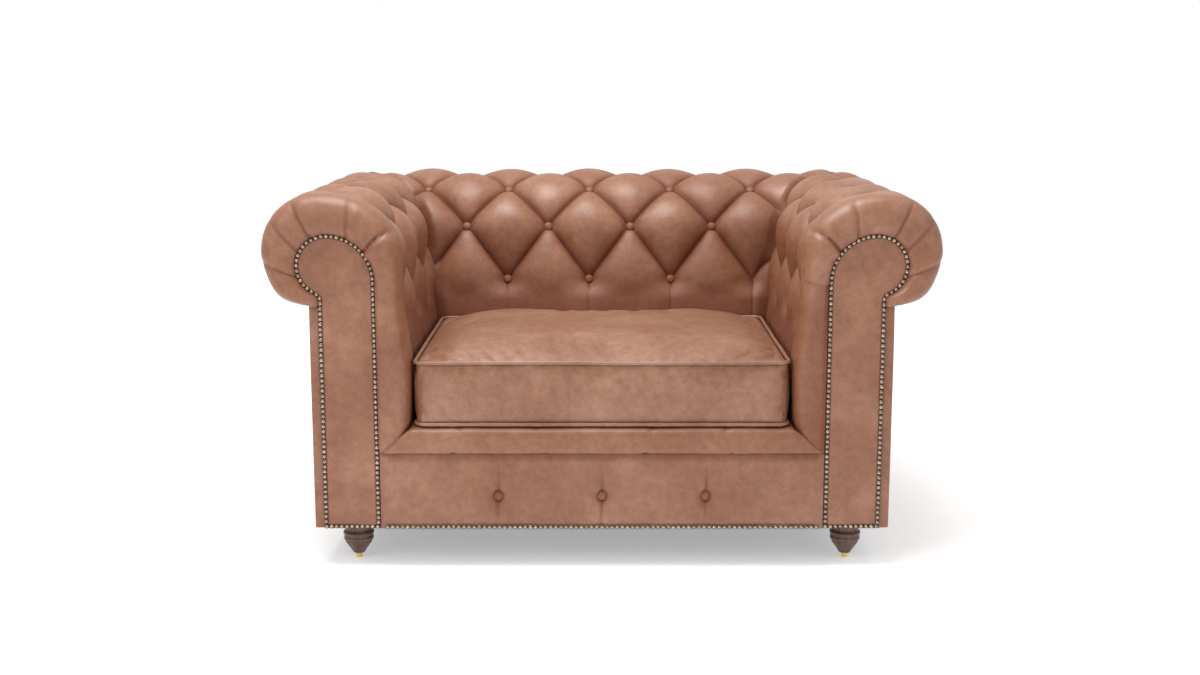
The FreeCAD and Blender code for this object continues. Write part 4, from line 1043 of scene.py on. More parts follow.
# %% Set the buttons
button_pieces = []
for node, middle in (("left_arm_buttons", (0, -0.1, 0.8)), ("right_arm_buttons", (0, -0.1, 0.8)),
                     ("back_buttons", (0, -0.3, 0.9)), ("front_buttons", (0, -9, panel_button_height))):
    discs = []
    for group in clusters(node, 0.026):
        centre, axis = disc_of(group, np.array(middle))
        discs.append((centre, axis))
    spots = [centre - axis * 0.0028 for centre, axis in discs]
    buttons = set_pieces(node.replace("buttons", "covered_buttons"), spots, [axis for _, axis in discs],
                         button_shape, leather, tip=0.10, change=0.03, seed=7)
    button_pieces.append((buttons, node))
    print(buttons.name, len(discs))


# %% [markdown]
# ## Facings
# The flat front of each arm is a board with leather drawn over it and turned round its edge. A ring of points
# follows the keyhole, steps over the rounded edge, and the flat is filled in one piece.

# %% Facing leather
def inset_ring(line, inset, y):
    """The outline moved inwards by the rule of its normals, at a depth."""
    ahead = np.roll(line, -1, axis=0) - line
    behind = line - np.roll(line, 1, axis=0)

    def unit(rows):
        return rows / np.maximum(np.linalg.norm(rows, axis=1, keepdims=True), 1e-9)

    tangent = unit(unit(ahead) + unit(behind))
    moved = line + np.stack([tangent[:, 1], -tangent[:, 0]], axis=1) * inset
    return np.stack([moved[:, 0], np.full(len(line), y), moved[:, 1]], axis=1)


def facing_leather(side, sign):
    """Leather over a facing board, its edge rounded and turned back."""
    back_edge = facing_front + 0.0245
    steps = [(0.0004, back_edge), (0.0, facing_front + 0.012), (0.0, facing_front + 0.0035),
             (0.0007, facing_front + 0.0012), (0.0022, facing_front + 0.0002), (0.0050, facing_front),
             (0.0085, facing_front), (0.0120, facing_front)]
    rings = np.stack([inset_ring(keyhole, inset, y) for inset, y in steps])
    count = len(keyhole)
    faces = grid_faces(len(steps), count, closed=True)
    top = (len(steps) - 1) * count
    faces.append(tuple(range(top, top + count)))
    faces.append(tuple(range(count))[::-1])
    points = rings.reshape(-1, 3) * np.array([sign, 1, 1])
    thing = mesh_object(f"{side}_facing_leather", points, faces)
    work = bmesh.new()
    work.from_mesh(thing.data)
    flat = [face for face in work.faces if len(face.verts) > 4]
    bmesh.ops.triangulate(work, faces=flat, ngon_method="BEAUTY")
    bmesh.ops.recalc_face_normals(work, faces=work.faces)
    work.to_mesh(thing.data)
    work.free()
    # Painted shade: a dark band round the turned edge, under the nails, in place of the shadow of the gap there.
    facing_fold_shade = np.zeros(len(thing.data.vertices))
    facing_fold_shade[3 * count:7 * count] = 0.95
    set_fold_shade(thing, facing_fold_shade)
    thing.data.shade_smooth()
    thing.data.materials.append(leather)
    return thing


facings = {side: facing_leather(side, sign) for side, sign in (("left", -1), ("right", 1))}
print("facing leather", len(facings["left"].data.polygons), "faces")


# %% [markdown]
# ## Border and front panel
# Between the arms a padded band runs along the front of the seat. Its ends are cut on the mitre that the arm
# fronts share. Below it the front panel is thinly padded, held by three buttons, with short folds above and
# below each.

# %% Padded band
def arc_line(corners, radii, count):
    """A line through corners rounded by radii, resampled to evenly spaced points."""
    line = [np.array(corners[0], float)]
    for index in range(1, len(corners) - 1):
        before, here, after = (np.array(corners[index + step], float) for step in (-1, 0, 1))
        first = (before - here) / np.linalg.norm(before - here)
        second = (after - here) / np.linalg.norm(after - here)
        half = math.acos(np.clip(first @ second, -1, 1)) / 2
        reach = radii[index - 1] / math.tan(half)
        a, b = here + first * reach, here + second * reach
        for share_here in np.linspace(0, 1, 9):
            line.append((1 - share_here) ** 2 * a + 2 * share_here * (1 - share_here) * here + share_here ** 2 * b)
    line.append(np.array(corners[-1], float))
    line = np.array(line)
    lengths = lengths_along(line)
    return at_lengths(line, lengths, np.linspace(0, lengths[-1], count))


soft_pulls = ((-0.31, 0.0016, 0.2), (-0.12, 0.0011, -0.3), (0.09, 0.0014, 0.25), (0.27, 0.0017, -0.2))


def band_leather():
    """The band in front of the seat, with mitred ends."""
    outline = arc_line([(facing_front, lip_low), (front - 0.001, lip_low + 0.004), (front - 0.001, lip_high - 0.0005),
                        (lip_back, lip_high - 0.0005), (lip_back, lip_low + 0.012)], (0.010, 0.024, 0.008), 54)
    wide = np.linspace(-1, 1, 241)
    end = np.interp(outline[:, 1], [lip_low, lip_high], [facing_inner, inside])
    points = np.zeros((len(outline), len(wide), 3))
    points[..., 0] = wide[None, :] * (end[:, None] - 0.0006)
    points[..., 1:] = outline[:, None, :]
    normal = grid_normals(points)
    normal *= -np.sign((normal[20:30, 120] @ np.array([0, 1, 0])).mean())
    from_end = end[:, None] - np.abs(points[..., 0])
    depth = 0.0028 * np.exp(-(from_end / 0.007) ** 2) + 0.0010 * (ripple(points, 0.07, 2.0) + 1)
    for place, size, lean in soft_pulls:
        off = points[..., 0] - place - lean * (points[..., 2] - lip_low)
        depth = depth + size * np.exp(-(off / 0.006) ** 2)
    points = points - normal * depth[..., None]
    # Painted shade at the mitred ends, where the band meets the arms.
    fold_shade = np.clip(0.6 * np.exp(-(from_end / 0.004) ** 2), 0, 1)
    ends = [points[:, step:step + 1] - normal[:, step:step + 1] * 0.010 for step in (0, len(wide) - 1)]
    return (np.concatenate([ends[0], points, ends[1]], axis=1),
            np.concatenate([fold_shade[:, :1], fold_shade, fold_shade[:, -1:]], axis=1))


band_points, band_fold_shade = band_leather()
band = grid_object("seat_front_band", band_points, flip=True, values=band_fold_shade)
band.data.materials.append(leather)
print(band.name, len(band.data.polygons), "faces")


# %% Front panel
def panel_leather():
    """The panel under the band, pulled in by three buttons."""
    wide = np.linspace(-facing_inner + 0.0004, facing_inner - 0.0004, 311)
    tall = np.linspace(base, lip_low + 0.001, 61)
    x, z = np.meshgrid(wide, tall)
    edge = np.minimum.reduce([facing_inner - np.abs(x), z - base + 0.004, lip_low - z + 0.006])
    uneven = 0.0006 * (ripple(np.stack([x, z, z], axis=-1), 0.09, 5.0) + 1)
    y = panel_front + 0.006 * (1 - smooth(edge / 0.022)) + uneven
    depth = np.zeros_like(x)
    # Painted shade under the band's overhang.
    fold_shade = 0.35 * np.exp(-(lip_low - z) / 0.006)
    for button in panel_buttons:
        off, rise = x - button, z - panel_button_height
        depth += 0.0095 * np.exp(-(off ** 2 + rise ** 2) / 0.015 ** 2)
        reach_up = 0.055 if button else 0.048
        reach_down = 0.040 if button else 0.075
        fall = np.where(rise > 0, np.exp(-(rise / reach_up) ** 2), np.exp(-(rise / reach_down) ** 2))
        depth += 0.0050 * fall * np.exp(-np.abs(off - 0.03 * rise) / 0.0034)
        near = np.hypot(off, rise * 0.8)
        # Painted shade along the short folds and round each button.
        fold_shade = np.maximum(fold_shade, 0.95 * fall * np.exp(-np.abs(off - 0.03 * rise) / 0.0032))
        fold_shade = np.maximum(fold_shade, 1.10 * np.exp(-(near / 0.0122) ** 6))
        for way in (-1, 1):
            depth += 0.0011 * fall * np.exp(-((off - way * (0.012 + 0.22 * np.abs(rise))) / 0.006) ** 2)
        depth -= 0.0016 * np.exp(-(rise / 0.05) ** 2) * (np.exp(-((np.abs(off) - 0.030) / 0.018) ** 2))
    points = np.stack([x, y + depth, z], axis=-1)
    under = points[:1] + np.array([0, 0.010, -0.0002])
    points = np.concatenate([under, points])
    return points, np.concatenate([fold_shade[:1], fold_shade])


panel_points, panel_fold_shade = panel_leather()
front_panel = grid_object("front_panel_leather", panel_points, values=panel_fold_shade)
front_panel.data.materials.append(leather)
print(front_panel.name, len(front_panel.data.polygons), "faces")


# %% [markdown]
# ## Outside of the arms and the back
# The outside is plain leather stretched over the frame from under the roll to the bottom rail, turned in at
# every edge. It bellies out by a few millimetres where nothing holds it.

# %% Side and back panels
def wrapped_panel(name, plan, seed):
    """A stretched panel that follows a line in plan, with its top and bottom turned in."""
    tall = np.concatenate([[0.0, 0.0012, 0.0030], np.linspace(0.006, 1 - 0.006, 78), [1 - 0.0030, 1 - 0.0012, 1.0]])
    tall = base + (panel_top - base) * tall
    tall[:3] = base + np.array([0, 0.0006, 0.0020])
    tall[-3:] = panel_top - np.array([0.0020, 0.0006, 0])
    points = np.zeros((len(tall), len(plan), 3))
    points[..., :2] = plan[None]
    points[..., 2] = tall[:, None]
    direction = np.gradient(plan, axis=0)
    direction /= np.maximum(np.linalg.norm(direction, axis=1, keepdims=True), 1e-9)
    normal = np.stack([direction[:, 1], -direction[:, 0], np.zeros(len(plan))], axis=1)
    lengths = lengths_along(plan)
    along = lengths / lengths[-1]
    edge = np.minimum(tall - base, panel_top - tall)
    turn_in = 0.0030 * (1 - np.sqrt(np.clip(1 - (1 - np.clip(edge / 0.0030, 0, 1)) ** 2, 0, 1)))
    swell = (np.sin(math.pi * along) ** 0.6)[None, :]
    swell = swell * (np.sin(math.pi * (tall - base) / (panel_top - base)) ** 0.6)[:, None]
    out = 0.0035 * swell + 0.0008 * ripple(points, 0.12, seed) * swell - turn_in[:, None]
    pull = np.exp(-((panel_top - tall) / 0.05))[:, None] * np.cos(lengths / 0.021)[None, :]
    out = out - 0.0004 * (1 + pull) * np.exp(-((panel_top - tall) / 0.06))[:, None]
    return grid_object(name, points + normal[None] * out[..., None], values=np.zeros(points.shape[:2]))


def dense_line(corners, radii, spacing=0.003):
    """A rounded line with points close together in its corners and a few millimetres apart elsewhere."""
    rough = arc_line(corners, radii, 4000)
    lengths = lengths_along(rough)
    marks = set(np.arange(0, lengths[-1], spacing * 2.4)) | {lengths[-1]}
    for corner in corners[1:-1]:
        nearest = lengths[np.argmin(np.linalg.norm(rough - np.array(corner), axis=1))]
        marks |= {nearest + step for step in np.arange(-0.008, 0.0081, 0.0010)}
    marks = np.array(sorted(mark for mark in marks if 0 <= mark <= lengths[-1]))
    marks = marks[np.concatenate([[True], np.diff(marks) > 0.0003])]
    return at_lengths(rough, lengths, marks)


side_plan = dense_line([(facing_outer + 0.0004, facing_front + 0.0045), (panel_x, facing_front + 0.0045),
                        (panel_x, panel_y), (panel_x - 0.0035, panel_y)], (0.0045, 0.0030))
outside_pieces = {"right": wrapped_panel("right_outside_leather", side_plan, 3.0)}
outside_pieces["left"] = wrapped_panel("left_outside_leather", (side_plan * np.array([-1, 1]))[::-1], 6.0)
back_plan = dense_line([(panel_x - 0.0043, panel_y - 0.0035), (panel_x - 0.0043, panel_y),
                        (0.0043 - panel_x, panel_y), (0.0043 - panel_x, panel_y - 0.0035)], (0.0030, 0.0030))
outside_pieces["back"] = wrapped_panel("back_outside_leather", back_plan, 9.0)
for piece in outside_pieces.values():
    piece.data.materials.append(leather)
    print(piece.name, len(piece.data.polygons), "faces")


# %% [markdown]
# ## The loose cushion
# The cushion is a boxed cover with a foam and feather filling. The filling pushes the leather out between its
# seams, which is what a cloth simulation with inner pressure does: the cover starts a little small, its seams
# and underside are held, and the rest swells and wrinkles. The piping is sewn on afterwards.

# %% Cushion blank
cushion_low, cushion_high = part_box("seat_cushion_cover")
seam_low = cushion_low.z + 0.004
seam_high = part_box("seat_cushion_piping")[1].z - 0.004
cushion_x = cushion_high.x
cushion_front, cushion_back = cushion_low.y, cushion_high.y
cushion_corner = 0.022
cut_small = 0.0018  # how much smaller the cover starts
crown = 0.018  # rise of its top before it is filled
voxel = 0.0080
filling_frames = 20
top_swell, side_swell = 0.022, 0.0085  # the furthest the filling may push


def rounded_plan(grow, step=0.008, corner=cushion_corner):
    """Plan of the cushion, grown or shrunk, as evenly spaced points counter-clockwise."""
    x, y0, y1, r = cushion_x + grow, cushion_front - grow, cushion_back + grow, corner + grow
    line = []
    corners = (x - r, y0 + r), (x - r, y1 - r), (-x + r, y1 - r), (-x + r, y0 + r)
    for (cx, cy), first in zip(corners, (-90, 0, 90, 180)):
        for turn in np.radians(np.linspace(first, first + 90, 9)):
            line.append((cx + r * math.cos(turn), cy + r * math.sin(turn)))
    line.append(line[0])
    line = np.array(line)
    lengths = lengths_along(line)
    return at_lengths(line, lengths, np.linspace(0, lengths[-1], int(lengths[-1] / step) + 1)[:-1])


def cushion_blank():
    """A closed box with rounded corners, cut a little small and slightly crowned."""
    plan = rounded_plan(-cut_small)
    middle = np.array([0, (cushion_front + cushion_back) / 2])
    half = np.array([cushion_x, (cushion_back - cushion_front) / 2])
    rings = []
    for share_in in np.linspace(0, 1, 26)[:-1]:
        ring = middle + (plan - middle) * share_in
        rings.append(np.column_stack([ring, np.full(len(plan), cushion_low.z + 0.0012)]))
    for height in np.linspace(cushion_low.z + 0.0012, seam_high, 18):
        rings.append(np.column_stack([plan, np.full(len(plan), height)]))
    for share_in in np.linspace(1, 0, 40)[1:-1]:
        ring = middle + (plan - middle) * share_in
        far = np.abs((ring - middle) / half)
        rise = (1 - far[:, 0] ** 5) * (1 - far[:, 1] ** 5)
        rings.append(np.column_stack([ring, seam_high + crown * np.clip(rise, 0, 1)]))
    count = len(plan)
    bottom, top = np.array([[*middle, cushion_low.z + 0.0012]]), np.array([[*middle, seam_high + crown]])
    points = np.concatenate([bottom, *rings[1:], top])
    rows = len(rings) - 1
    faces = [(a + 1, b + 1, c + 1, d + 1) for a, b, c, d in grid_faces(rows, count, closed=True)]
    faces += [(0, 1 + (side + 1) % count, 1 + side) for side in range(count)]
    last, start = len(points) - 1, 1 + (rows - 1) * count
    faces += [(last, start + side, start + (side + 1) % count) for side in range(count)]
    blank = mesh_object("seat_cushion", points, faces)
    outward(blank)
    return blank


cushion = cushion_blank()
print("blank", [round(v, 3) for v in cushion.dimensions])

# %% Remesh the blank and hold its seams
remesh = cushion.modifiers.new("remesh", "REMESH")
remesh.mode = "VOXEL"
remesh.voxel_size = voxel
bpy.context.view_layer.objects.active = cushion
bpy.ops.object.select_all(action="DESELECT")
cushion.select_set(True)
bpy.ops.object.modifier_apply(modifier="remesh")


def plan_distance(points, grow=0.0):
    """Distance in plan from each point to the rounded outline: positive inside."""
    x, y0, y1, r = cushion_x + grow, cushion_front - grow, cushion_back + grow, cushion_corner + grow
    middle = np.array([0, (y0 + y1) / 2])
    away = np.abs(points[:, :2] - middle) - np.array([x - r, (y1 - y0) / 2 - r])
    outside = np.linalg.norm(np.maximum(away, 0), axis=1) + np.minimum(np.max(away, axis=1), 0)
    return r - outside


start_points = vertex_array(cushion.data)
inset = plan_distance(start_points)
at_edge = inset < 0.009
on_seam = at_edge & ((np.abs(start_points[:, 2] - seam_high) < 0.0055) | (start_points[:, 2] < seam_low + 0.004))
under = start_points[:, 2] < cushion_low.z + 0.006
held = cushion.vertex_groups.new(name="held")
held.add([int(i) for i in np.flatnonzero(on_seam | under)], 1.0, "REPLACE")
print("cover", len(start_points), "points, held", int((on_seam | under).sum()))

# %% [markdown]
# Blender's cloth with pressure blows the cover up like a balloon. Gravity is off, the seams are held, and the
# cloth may grow by about two percent, which leaves a little slack for wrinkles.

# %% Fill it
cloth = cushion.modifiers.new("filling", "CLOTH")
settings = cloth.settings
settings.quality = 6
settings.mass = 0.35
settings.tension_stiffness = settings.compression_stiffness = 18
settings.shear_stiffness = 6
settings.bending_stiffness = 0.9
settings.use_pressure = True
settings.uniform_pressure_force = 4.0
settings.vertex_group_mass = "held"
settings.shrink_min = -0.022
settings.effector_weights.gravity = 0
cloth.collision_settings.use_self_collision = False
cloth.collision_settings.use_collision = False
scene = bpy.context.scene
scene.frame_start, scene.frame_end = 1, filling_frames
for step in range(1, filling_frames + 1):
    scene.frame_set(step)
reader = bpy.context.evaluated_depsgraph_get()
swollen = vertex_array(bpy.data.meshes.new_from_object(cushion.evaluated_get(reader)))
cushion.modifiers.remove(cloth)
scene.frame_set(1)
moved = swollen - start_points
far = np.linalg.norm(moved, axis=1)
print("filling moved the cover by up to", round(float(far.max()) * 1000, 1), "mm")

# %% Keep it in its place and finish the seams
allowed = np.where(start_points[:, 2] > seam_high - 0.003, top_swell, side_swell)
moved *= np.minimum(1, allowed / np.maximum(far, 1e-9))[:, None]
cover_points = start_points + moved
cover_points[:, 2] = np.maximum(cover_points[:, 2], cushion_low.z + 0.0002)
cushion.data.vertices.foreach_set("co", cover_points.reshape(-1))
cushion.vertex_groups.clear()
# Painted shade along the top seam.
set_fold_shade(cushion, 0.40 * np.exp(-(np.abs(plan_distance(cover_points)) / 0.008) ** 2)
         * np.exp(-((cover_points[:, 2] - seam_high) / 0.006) ** 2))
finer = cushion.modifiers.new("finer", "SUBSURF")
finer.levels = finer.render_levels = 1
bpy.ops.object.modifier_apply(modifier="finer")
cushion.data.shade_smooth()
cushion.data.materials.append(seat_leather)
print(cushion.name, len(cushion.data.polygons), "faces", [round(v, 3) for v in cushion.dimensions])


# %% [markdown]
# The piping is a cord in a strip of leather, sewn into both seams. It is a tube along the outline, uneven by a
# fraction of a millimetre because it is stuffed by hand.

# %% Piping
cord_radius = 0.0040


def piping_loops():
    """Two closed tubes round the cushion's seams, in one mesh."""
    points, faces = [], []
    around = 12
    for loop, height in enumerate((seam_low, seam_high)):
        plan = rounded_plan(0.0008, 0.0055)
        count = len(plan)
        ahead = np.roll(plan, -1, axis=0) - np.roll(plan, 1, axis=0)
        ahead /= np.linalg.norm(ahead, axis=1, keepdims=True)
        out = np.stack([ahead[:, 1], -ahead[:, 0]], axis=1)
        sway = np.arange(count) / count * 2 * math.pi
        lift = 0.0006 * np.sin(5 * sway + loop) + 0.0003 * np.sin(13 * sway + 2 * loop) if loop else np.zeros(count)
        start = len(points)
        for index in range(count):
            radius = cord_radius * (1 + 0.03 * math.sin(31 * sway[index]) + 0.02 * math.sin(53 * sway[index] + 1))
            for turn in range(around):
                angle = 2 * math.pi * turn / around
                side = out[index] * math.cos(angle) * radius
                up = max(height + lift[index] + radius * math.sin(angle), cushion_low.z + 0.0001)
                points.append((plan[index, 0] + side[0], plan[index, 1] + side[1], up))
        for index in range(count):
            following = (index + 1) % count
            for turn in range(around):
                beside = (turn + 1) % around
                faces.append((start + index * around + turn, start + following * around + turn,
                              start + following * around + beside, start + index * around + beside))
    thing = mesh_object("seat_cushion_piping_cord", points, faces)
    outward(thing)
    set_fold_shade(thing, np.zeros(len(points)))
    thing.data.materials.append(piping_leather)
    return thing


piping_leather = leather_finish("piping_leather", mid=(0.275, 0.130, 0.078), pale=(0.35, 0.19, 0.125))
piping = piping_loops()
print(piping.name, len(piping.data.polygons), "faces")

# %% [markdown]
# A zip along the back of the border lets the cover come off. Its teeth repeat, so the same tree sets them.

# %% Zip tape and teeth
zip_low, zip_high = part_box("cushion_zip")
zip_middle = (zip_low.z + zip_high.z) / 2


def zip_tape():
    """Two woven tapes with a narrow gap, slightly wavy."""
    wide = np.linspace(zip_low.x, zip_high.x, 200)
    lines = []
    for low_z, high_z in ((zip_low.z, zip_middle - 0.0012), (zip_middle + 0.0012, zip_high.z)):
        tall = np.linspace(low_z, high_z, 8)
        u, v = np.meshgrid(wide, tall)
        front_y = zip_high.y - 0.0005 + 0.0003 * np.sin(u / 0.03)
        out = np.stack([u, front_y, v], axis=-1)
        back = np.stack([u, front_y - 0.0010, v], axis=-1)
        closed = np.concatenate([out, back[::-1], out[:1]])
        lines.append(grid_object("tape", closed, flip=True))
    for extra in lines[1:]:
        join_into(lines[0], extra)
    lines[0].name = "cushion_zip_tape"
    lines[0].data.materials.append(zip_cloth)
    return lines[0]


def join_into(first, second):
    """Add the faces of one mesh object to another."""
    work = bmesh.new()
    work.from_mesh(first.data)
    work.from_mesh(second.data)
    work.to_mesh(first.data)
    work.free()
    bpy.data.objects.remove(second)


tape = zip_tape()
tooth_outline = [(0, 0.0011), (0.0011, 0.0009), (0.0014, 0.0003), (0.0014, -0.0003)]
tooth = turned_shape("zip_tooth", tooth_outline, 6)
tooth_pitch = 0.0025
tooth_x = np.arange(zip_low.x + 0.004, zip_high.x - 0.003, tooth_pitch)
tooth_spots = [(x, zip_high.y + 0.0002, zip_middle + (0.0007 if i % 2 else -0.0007)) for i, x in enumerate(tooth_x)]
teeth = set_pieces("cushion_zip_teeth", tooth_spots, np.tile([0, 1, 0], (len(tooth_spots), 1)), tooth, zip_brass,
                   turn=0.0, tip=0.02, change=0.02, seed=21)
print(tape.name, "and", len(tooth_spots), "teeth")

# %% [markdown]
# ## Deck and dust cover
# Under the cushion a cloth deck is stretched over the springs, with a seam where the band's leather joins it.
# Under the frame a thin black cloth hides the springs, held by staples. Both are sheets on a grid.

# %% Deck
deck_low, deck_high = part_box("seat_deck")


def deck_cover():
    """The cloth over the springs: a shallow slab with rounded edges and a seam near its front."""
    wide = np.linspace(deck_low.x + 0.001, deck_high.x - 0.001, 133)
    deep = np.linspace(deck_low.y + 0.0005, deck_high.y - 0.001, 93)
    u, v = np.meshgrid(wide, deep)
    edge = np.minimum(deck_high.x - 0.001 - np.abs(u), deck_high.y - 0.001 - v)
    z = deck_high.z - 0.0006 - 0.010 * (1 - np.sqrt(np.clip(1 - (1 - np.clip(edge / 0.014, 0, 1)) ** 2, 0, 1)))
    z -= 0.0008 * (1 + ripple(np.stack([u, v, v], axis=-1), 0.16, 8.0))
    z -= 0.0022 * np.exp(-((v - deck_low.y - 0.045) / 0.004) ** 2)
    top = np.stack([u, v, z], axis=-1)
    ring_top = np.concatenate([top[0], top[1:, -1], top[-1, -2::-1], top[-2:0:-1, 0]])
    ring_low = ring_top.copy()
    ring_low[:, 2] = deck_low.z + 0.004
    thing = grid_object("seat_deck_cloth", top)
    wall = grid_object("wall", np.stack([ring_low, ring_top]), closed=True)
    join_into(thing, wall)
    weld(thing)
    thing.data.materials.append(deck_cloth)
    return thing


deck = deck_cover()
print(deck.name, len(deck.data.polygons), "faces")

# %% Dust cover and staples
dust_low, dust_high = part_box("dust_cover")


def dust_sheet():
    """Thin cloth under the frame, sagging a little between its staples."""
    wide = np.linspace(dust_low.x, dust_high.x, 199)
    deep = np.linspace(dust_low.y, dust_high.y, 139)
    u, v = np.meshgrid(wide, deep)
    edge = np.minimum.reduce([u - dust_low.x, dust_high.x - u, v - dust_low.y, dust_high.y - v])
    sag = 0.0075 * smooth(np.clip((edge - 0.02) / 0.28, 0, 1))
    pull = np.exp(-edge / 0.035) * (np.cos(u / 0.0095) * np.cos(v / 0.0095))
    z = dust_low.z + 0.0010 - sag + 0.0004 * pull + 0.0006 * ripple(np.stack([u, v, v], axis=-1), 0.13, 2.0)
    return grid_object("dust_cover_cloth", np.stack([u, v, z], axis=-1), flip=True)


dust = dust_sheet()
dust.data.materials.append(dust_cloth)


def staple_shape():
    """One staple: a flat crown with two short legs, as a bent strip."""
    wide, tall, thick = 0.0055, 0.0030, 0.0006
    points, faces = [], []
    for x0, x1, z0, z1 in ((-wide, wide, 0, thick), (-wide, -wide + thick, -tall, 0), (wide - thick, wide, -tall, 0)):
        start = len(points)
        points += [(x, y, z) for z in (z0, z1) for y in (-thick, thick) for x in (x0, x1)]
        faces += [tuple(start + i for i in face) for face in
                  ((0, 2, 3, 1), (4, 5, 7, 6), (0, 1, 5, 4), (2, 6, 7, 3), (0, 4, 6, 2), (1, 3, 7, 5))]
    return mesh_object("staple", points, faces)


staple = staple_shape()
staple_inset, staple_pitch = 0.010, 0.046
staple_z = dust_low.z + 0.0004
staple_spots = []
for x in np.arange(dust_low.x + 0.06, dust_high.x - 0.05, staple_pitch):
    staple_spots += [(x, y, staple_z) for y in (dust_low.y + staple_inset, dust_high.y - staple_inset)]
for y in np.arange(dust_low.y + 0.08, dust_high.y - 0.07, staple_pitch):
    staple_spots += [(x, y, staple_z) for x in (dust_low.x + staple_inset, dust_high.x - staple_inset)]
staples = set_pieces("dust_cover_staples", staple_spots, np.tile([0, 0, -1], (len(staple_spots), 1)), staple,
                     spring_steel, turn=0.25, tip=0.03, change=0.0, seed=31)
for helper in (nail_head, button_shape, tooth, staple):
    bpy.data.objects.remove(helper)
print(dust.name, "with", len(staple_spots), "staples")

# %% [markdown]
# ## What stays as it was in the CAD model
# The frame's boards, the turned feet, their brass studs, the springs and the webbing have the right shape
# already. They only get their finishes.

# %% Finishes for the fixed pieces
def finish_node(name, finish):
    """Give a CAD piece its finish."""
    data = nodes[name].data
    data.materials.clear()
    data.materials.append(finish)


def finish_for(name):
    """The finish that suits a fixed piece."""
    if name.endswith("_foot"):
        return walnut
    if name == "glides":
        return stud_brass
    if name in ("seat_springs", "spring_clips", "foot_bolts"):
        return spring_steel
    if "webbing" in name:
        return jute
    if name == "zip_slider":
        return zip_brass
    if "post" in name or "upright" in name or "facing_board" in name:
        return beech_tall
    if "side_rail" in name or "arm_rail" in name or "arm_tack_rail" in name or "corner_blocks" in name:
        return beech_deep
    return beech_along


for name in nodes:
    finish_node(name, finish_for(name))
print("finished", len(nodes), "fixed pieces")

# %% [markdown]
# ## Camera, light and floor
# A slightly long lens from about a metre up, tipped down a little, and the soft light of a white studio: a
# large overhead light, a broad one from the front left and a weaker one from the right. The backdrop is pure
# white to the camera, while a little less light than that falls on the chair from all round.

# %% Stage
camera_away, camera_height, tipped_down = 3.11, 1.026, 9.73  # metres, metres, degrees
camera_data = bpy.data.cameras.new("camera")
camera_data.lens = 46.2
camera_data.sensor_width = 36
camera = bpy.data.objects.new("camera", camera_data)
camera.location = (-0.004, front - camera_away, camera_height)
camera.rotation_euler = (math.radians(90 - tipped_down), 0, 0)
bpy.context.scene.collection.objects.link(camera)
bpy.context.scene.camera = camera
bpy.context.scene.view_settings.view_transform = "Standard"


def area_light(name, place, target, size, power):
    """A soft square light that looks at a point."""
    data = bpy.data.lights.new(name, "AREA")
    data.energy = power
    data.size = size
    lamp = bpy.data.objects.new(name, data)
    lamp.location = place
    lamp.rotation_euler = (Vector(target) - Vector(place)).to_track_quat("-Z", "Y").to_euler()
    bpy.context.scene.collection.objects.link(lamp)
    return lamp


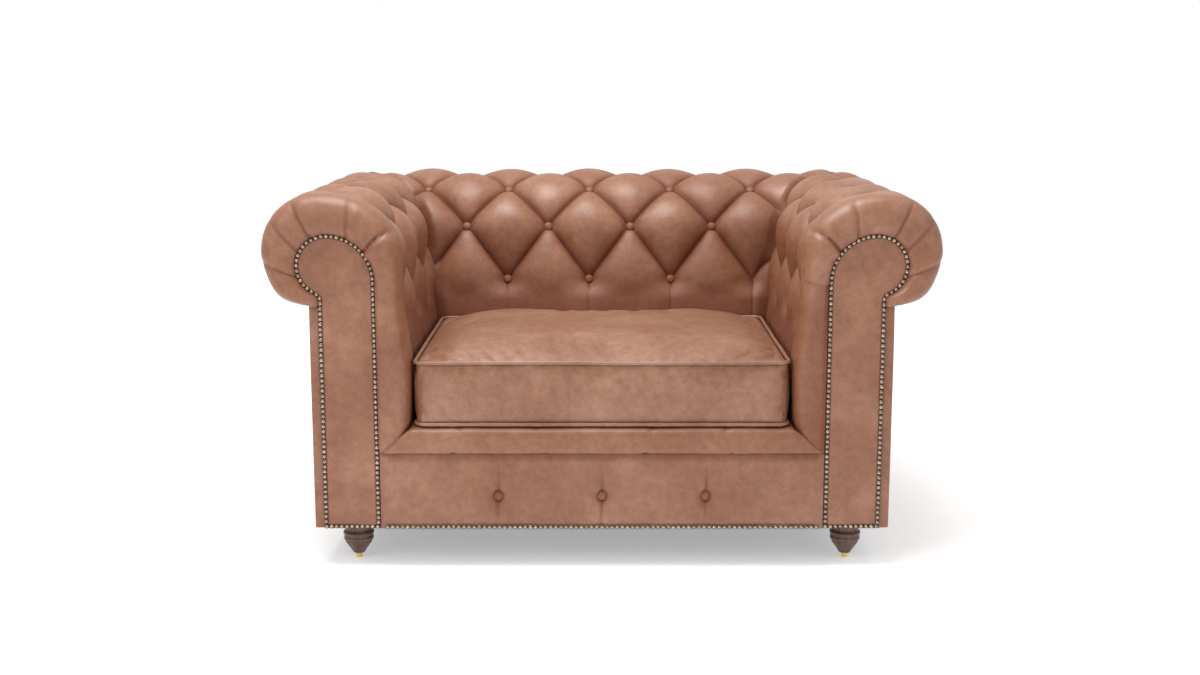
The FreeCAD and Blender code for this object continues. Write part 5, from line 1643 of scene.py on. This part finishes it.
area_light("overhead", (-0.4, -0.6, 3.0), (0, 0, 0.5), 1.8, 80)
area_light("front_left", (-2.4, -3.0, 2.2), (0, 0, 0.5), 1.4, 19)
area_light("front_right", (2.8, -2.4, 1.8), (0, 0, 0.5), 1.4, 7)
world = bpy.data.worlds.new("studio")
world.use_nodes = True
world.node_tree.nodes["Background"].inputs["Color"].default_value = (1, 1, 1, 1)
ray = world.node_tree.nodes.new("ShaderNodeLightPath")
strength = world.node_tree.nodes.new("ShaderNodeMapRange")
strength.inputs["To Min"].default_value = 0.69
strength.inputs["To Max"].default_value = 1.0
world.node_tree.links.new(ray.outputs["Is Camera Ray"], strength.inputs["Value"])
world.node_tree.links.new(strength.outputs["Result"], world.node_tree.nodes["Background"].inputs["Strength"])
bpy.context.scene.world = world
floor = mesh_object("floor", [(-14, -14, 0), (14, -14, 0), (14, 14, 0), (-14, 14, 0)], [(0, 1, 2, 3)])
floor_finish, _, floor_shader, _ = new_material("pale_floor")
floor_shader.inputs["Base Color"].default_value = (0.96, 0.96, 0.96, 1)
floor_shader.inputs["Roughness"].default_value = 0.9
floor_shader.inputs["Emission Color"].default_value = (1, 1, 1, 1)
floor_shader.inputs["Emission Strength"].default_value = 0.34
floor.data.materials.append(floor_finish)
print("camera at", tuple(round(value, 3) for value in camera.location))

# %% [markdown]
# ## Bodies and replaced parts
# Each piece rides on its body and stands for the CAD nodes that it replaces.

# %% Ride and replace
pieces = []
for side in ("left", "right"):
    pieces += [
        (arm_leathers[side], "chair", "leather", 0.8,
         (f"{side}_arm_cover", f"{side}_arm_inside_pad", f"{side}_arm_roll_pad")),
        (facings[side], "chair", "leather", None, (f"{side}_facing_cover",)),
        (outside_pieces[side], "chair", "leather", None, (f"{side}_outside_panel",)),
    ]
pieces += [
    (back_piece, "chair", "leather", 0.8, ("back_cover", "back_inside_pad", "back_roll_pad")),
    (outside_pieces["back"], "chair", "leather", None, ("back_outside_panel",)),
    (band, "chair", "leather", 0.8, ("front_lip_cover", "front_lip_pad")),
    (front_panel, "chair", "leather", 0.9, ("front_panel_cover", "front_panel_pad")),
    (deck, "chair", "black_cloth", 0.9, ("seat_deck",)),
    (dust, "chair", "black_cloth", None, ("dust_cover",)),
    (staples, "chair", "steel", None, ()),
    (cushion, "seat_cushion", "leather", 0.7, ("seat_cushion_core", "seat_cushion_cover")),
    (piping, "seat_cushion", "leather", None, ("seat_cushion_piping",)),
    (tape, "seat_cushion", "zip_tape", None, ("cushion_zip",)),
    (teeth, "seat_cushion", "zip_metal", None, ()),
]
pieces += [(row, "chair", "nail_brass", None, (node,)) for row, node in nail_pieces]
pieces += [(buttons, "chair", "leather", None, (node,)) for buttons, node in button_pieces]
for piece, body, slot, fill, replaced in pieces:
    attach(piece, body)
    if replaced:
        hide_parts(*replaced)
print("pieces:", len(pieces))
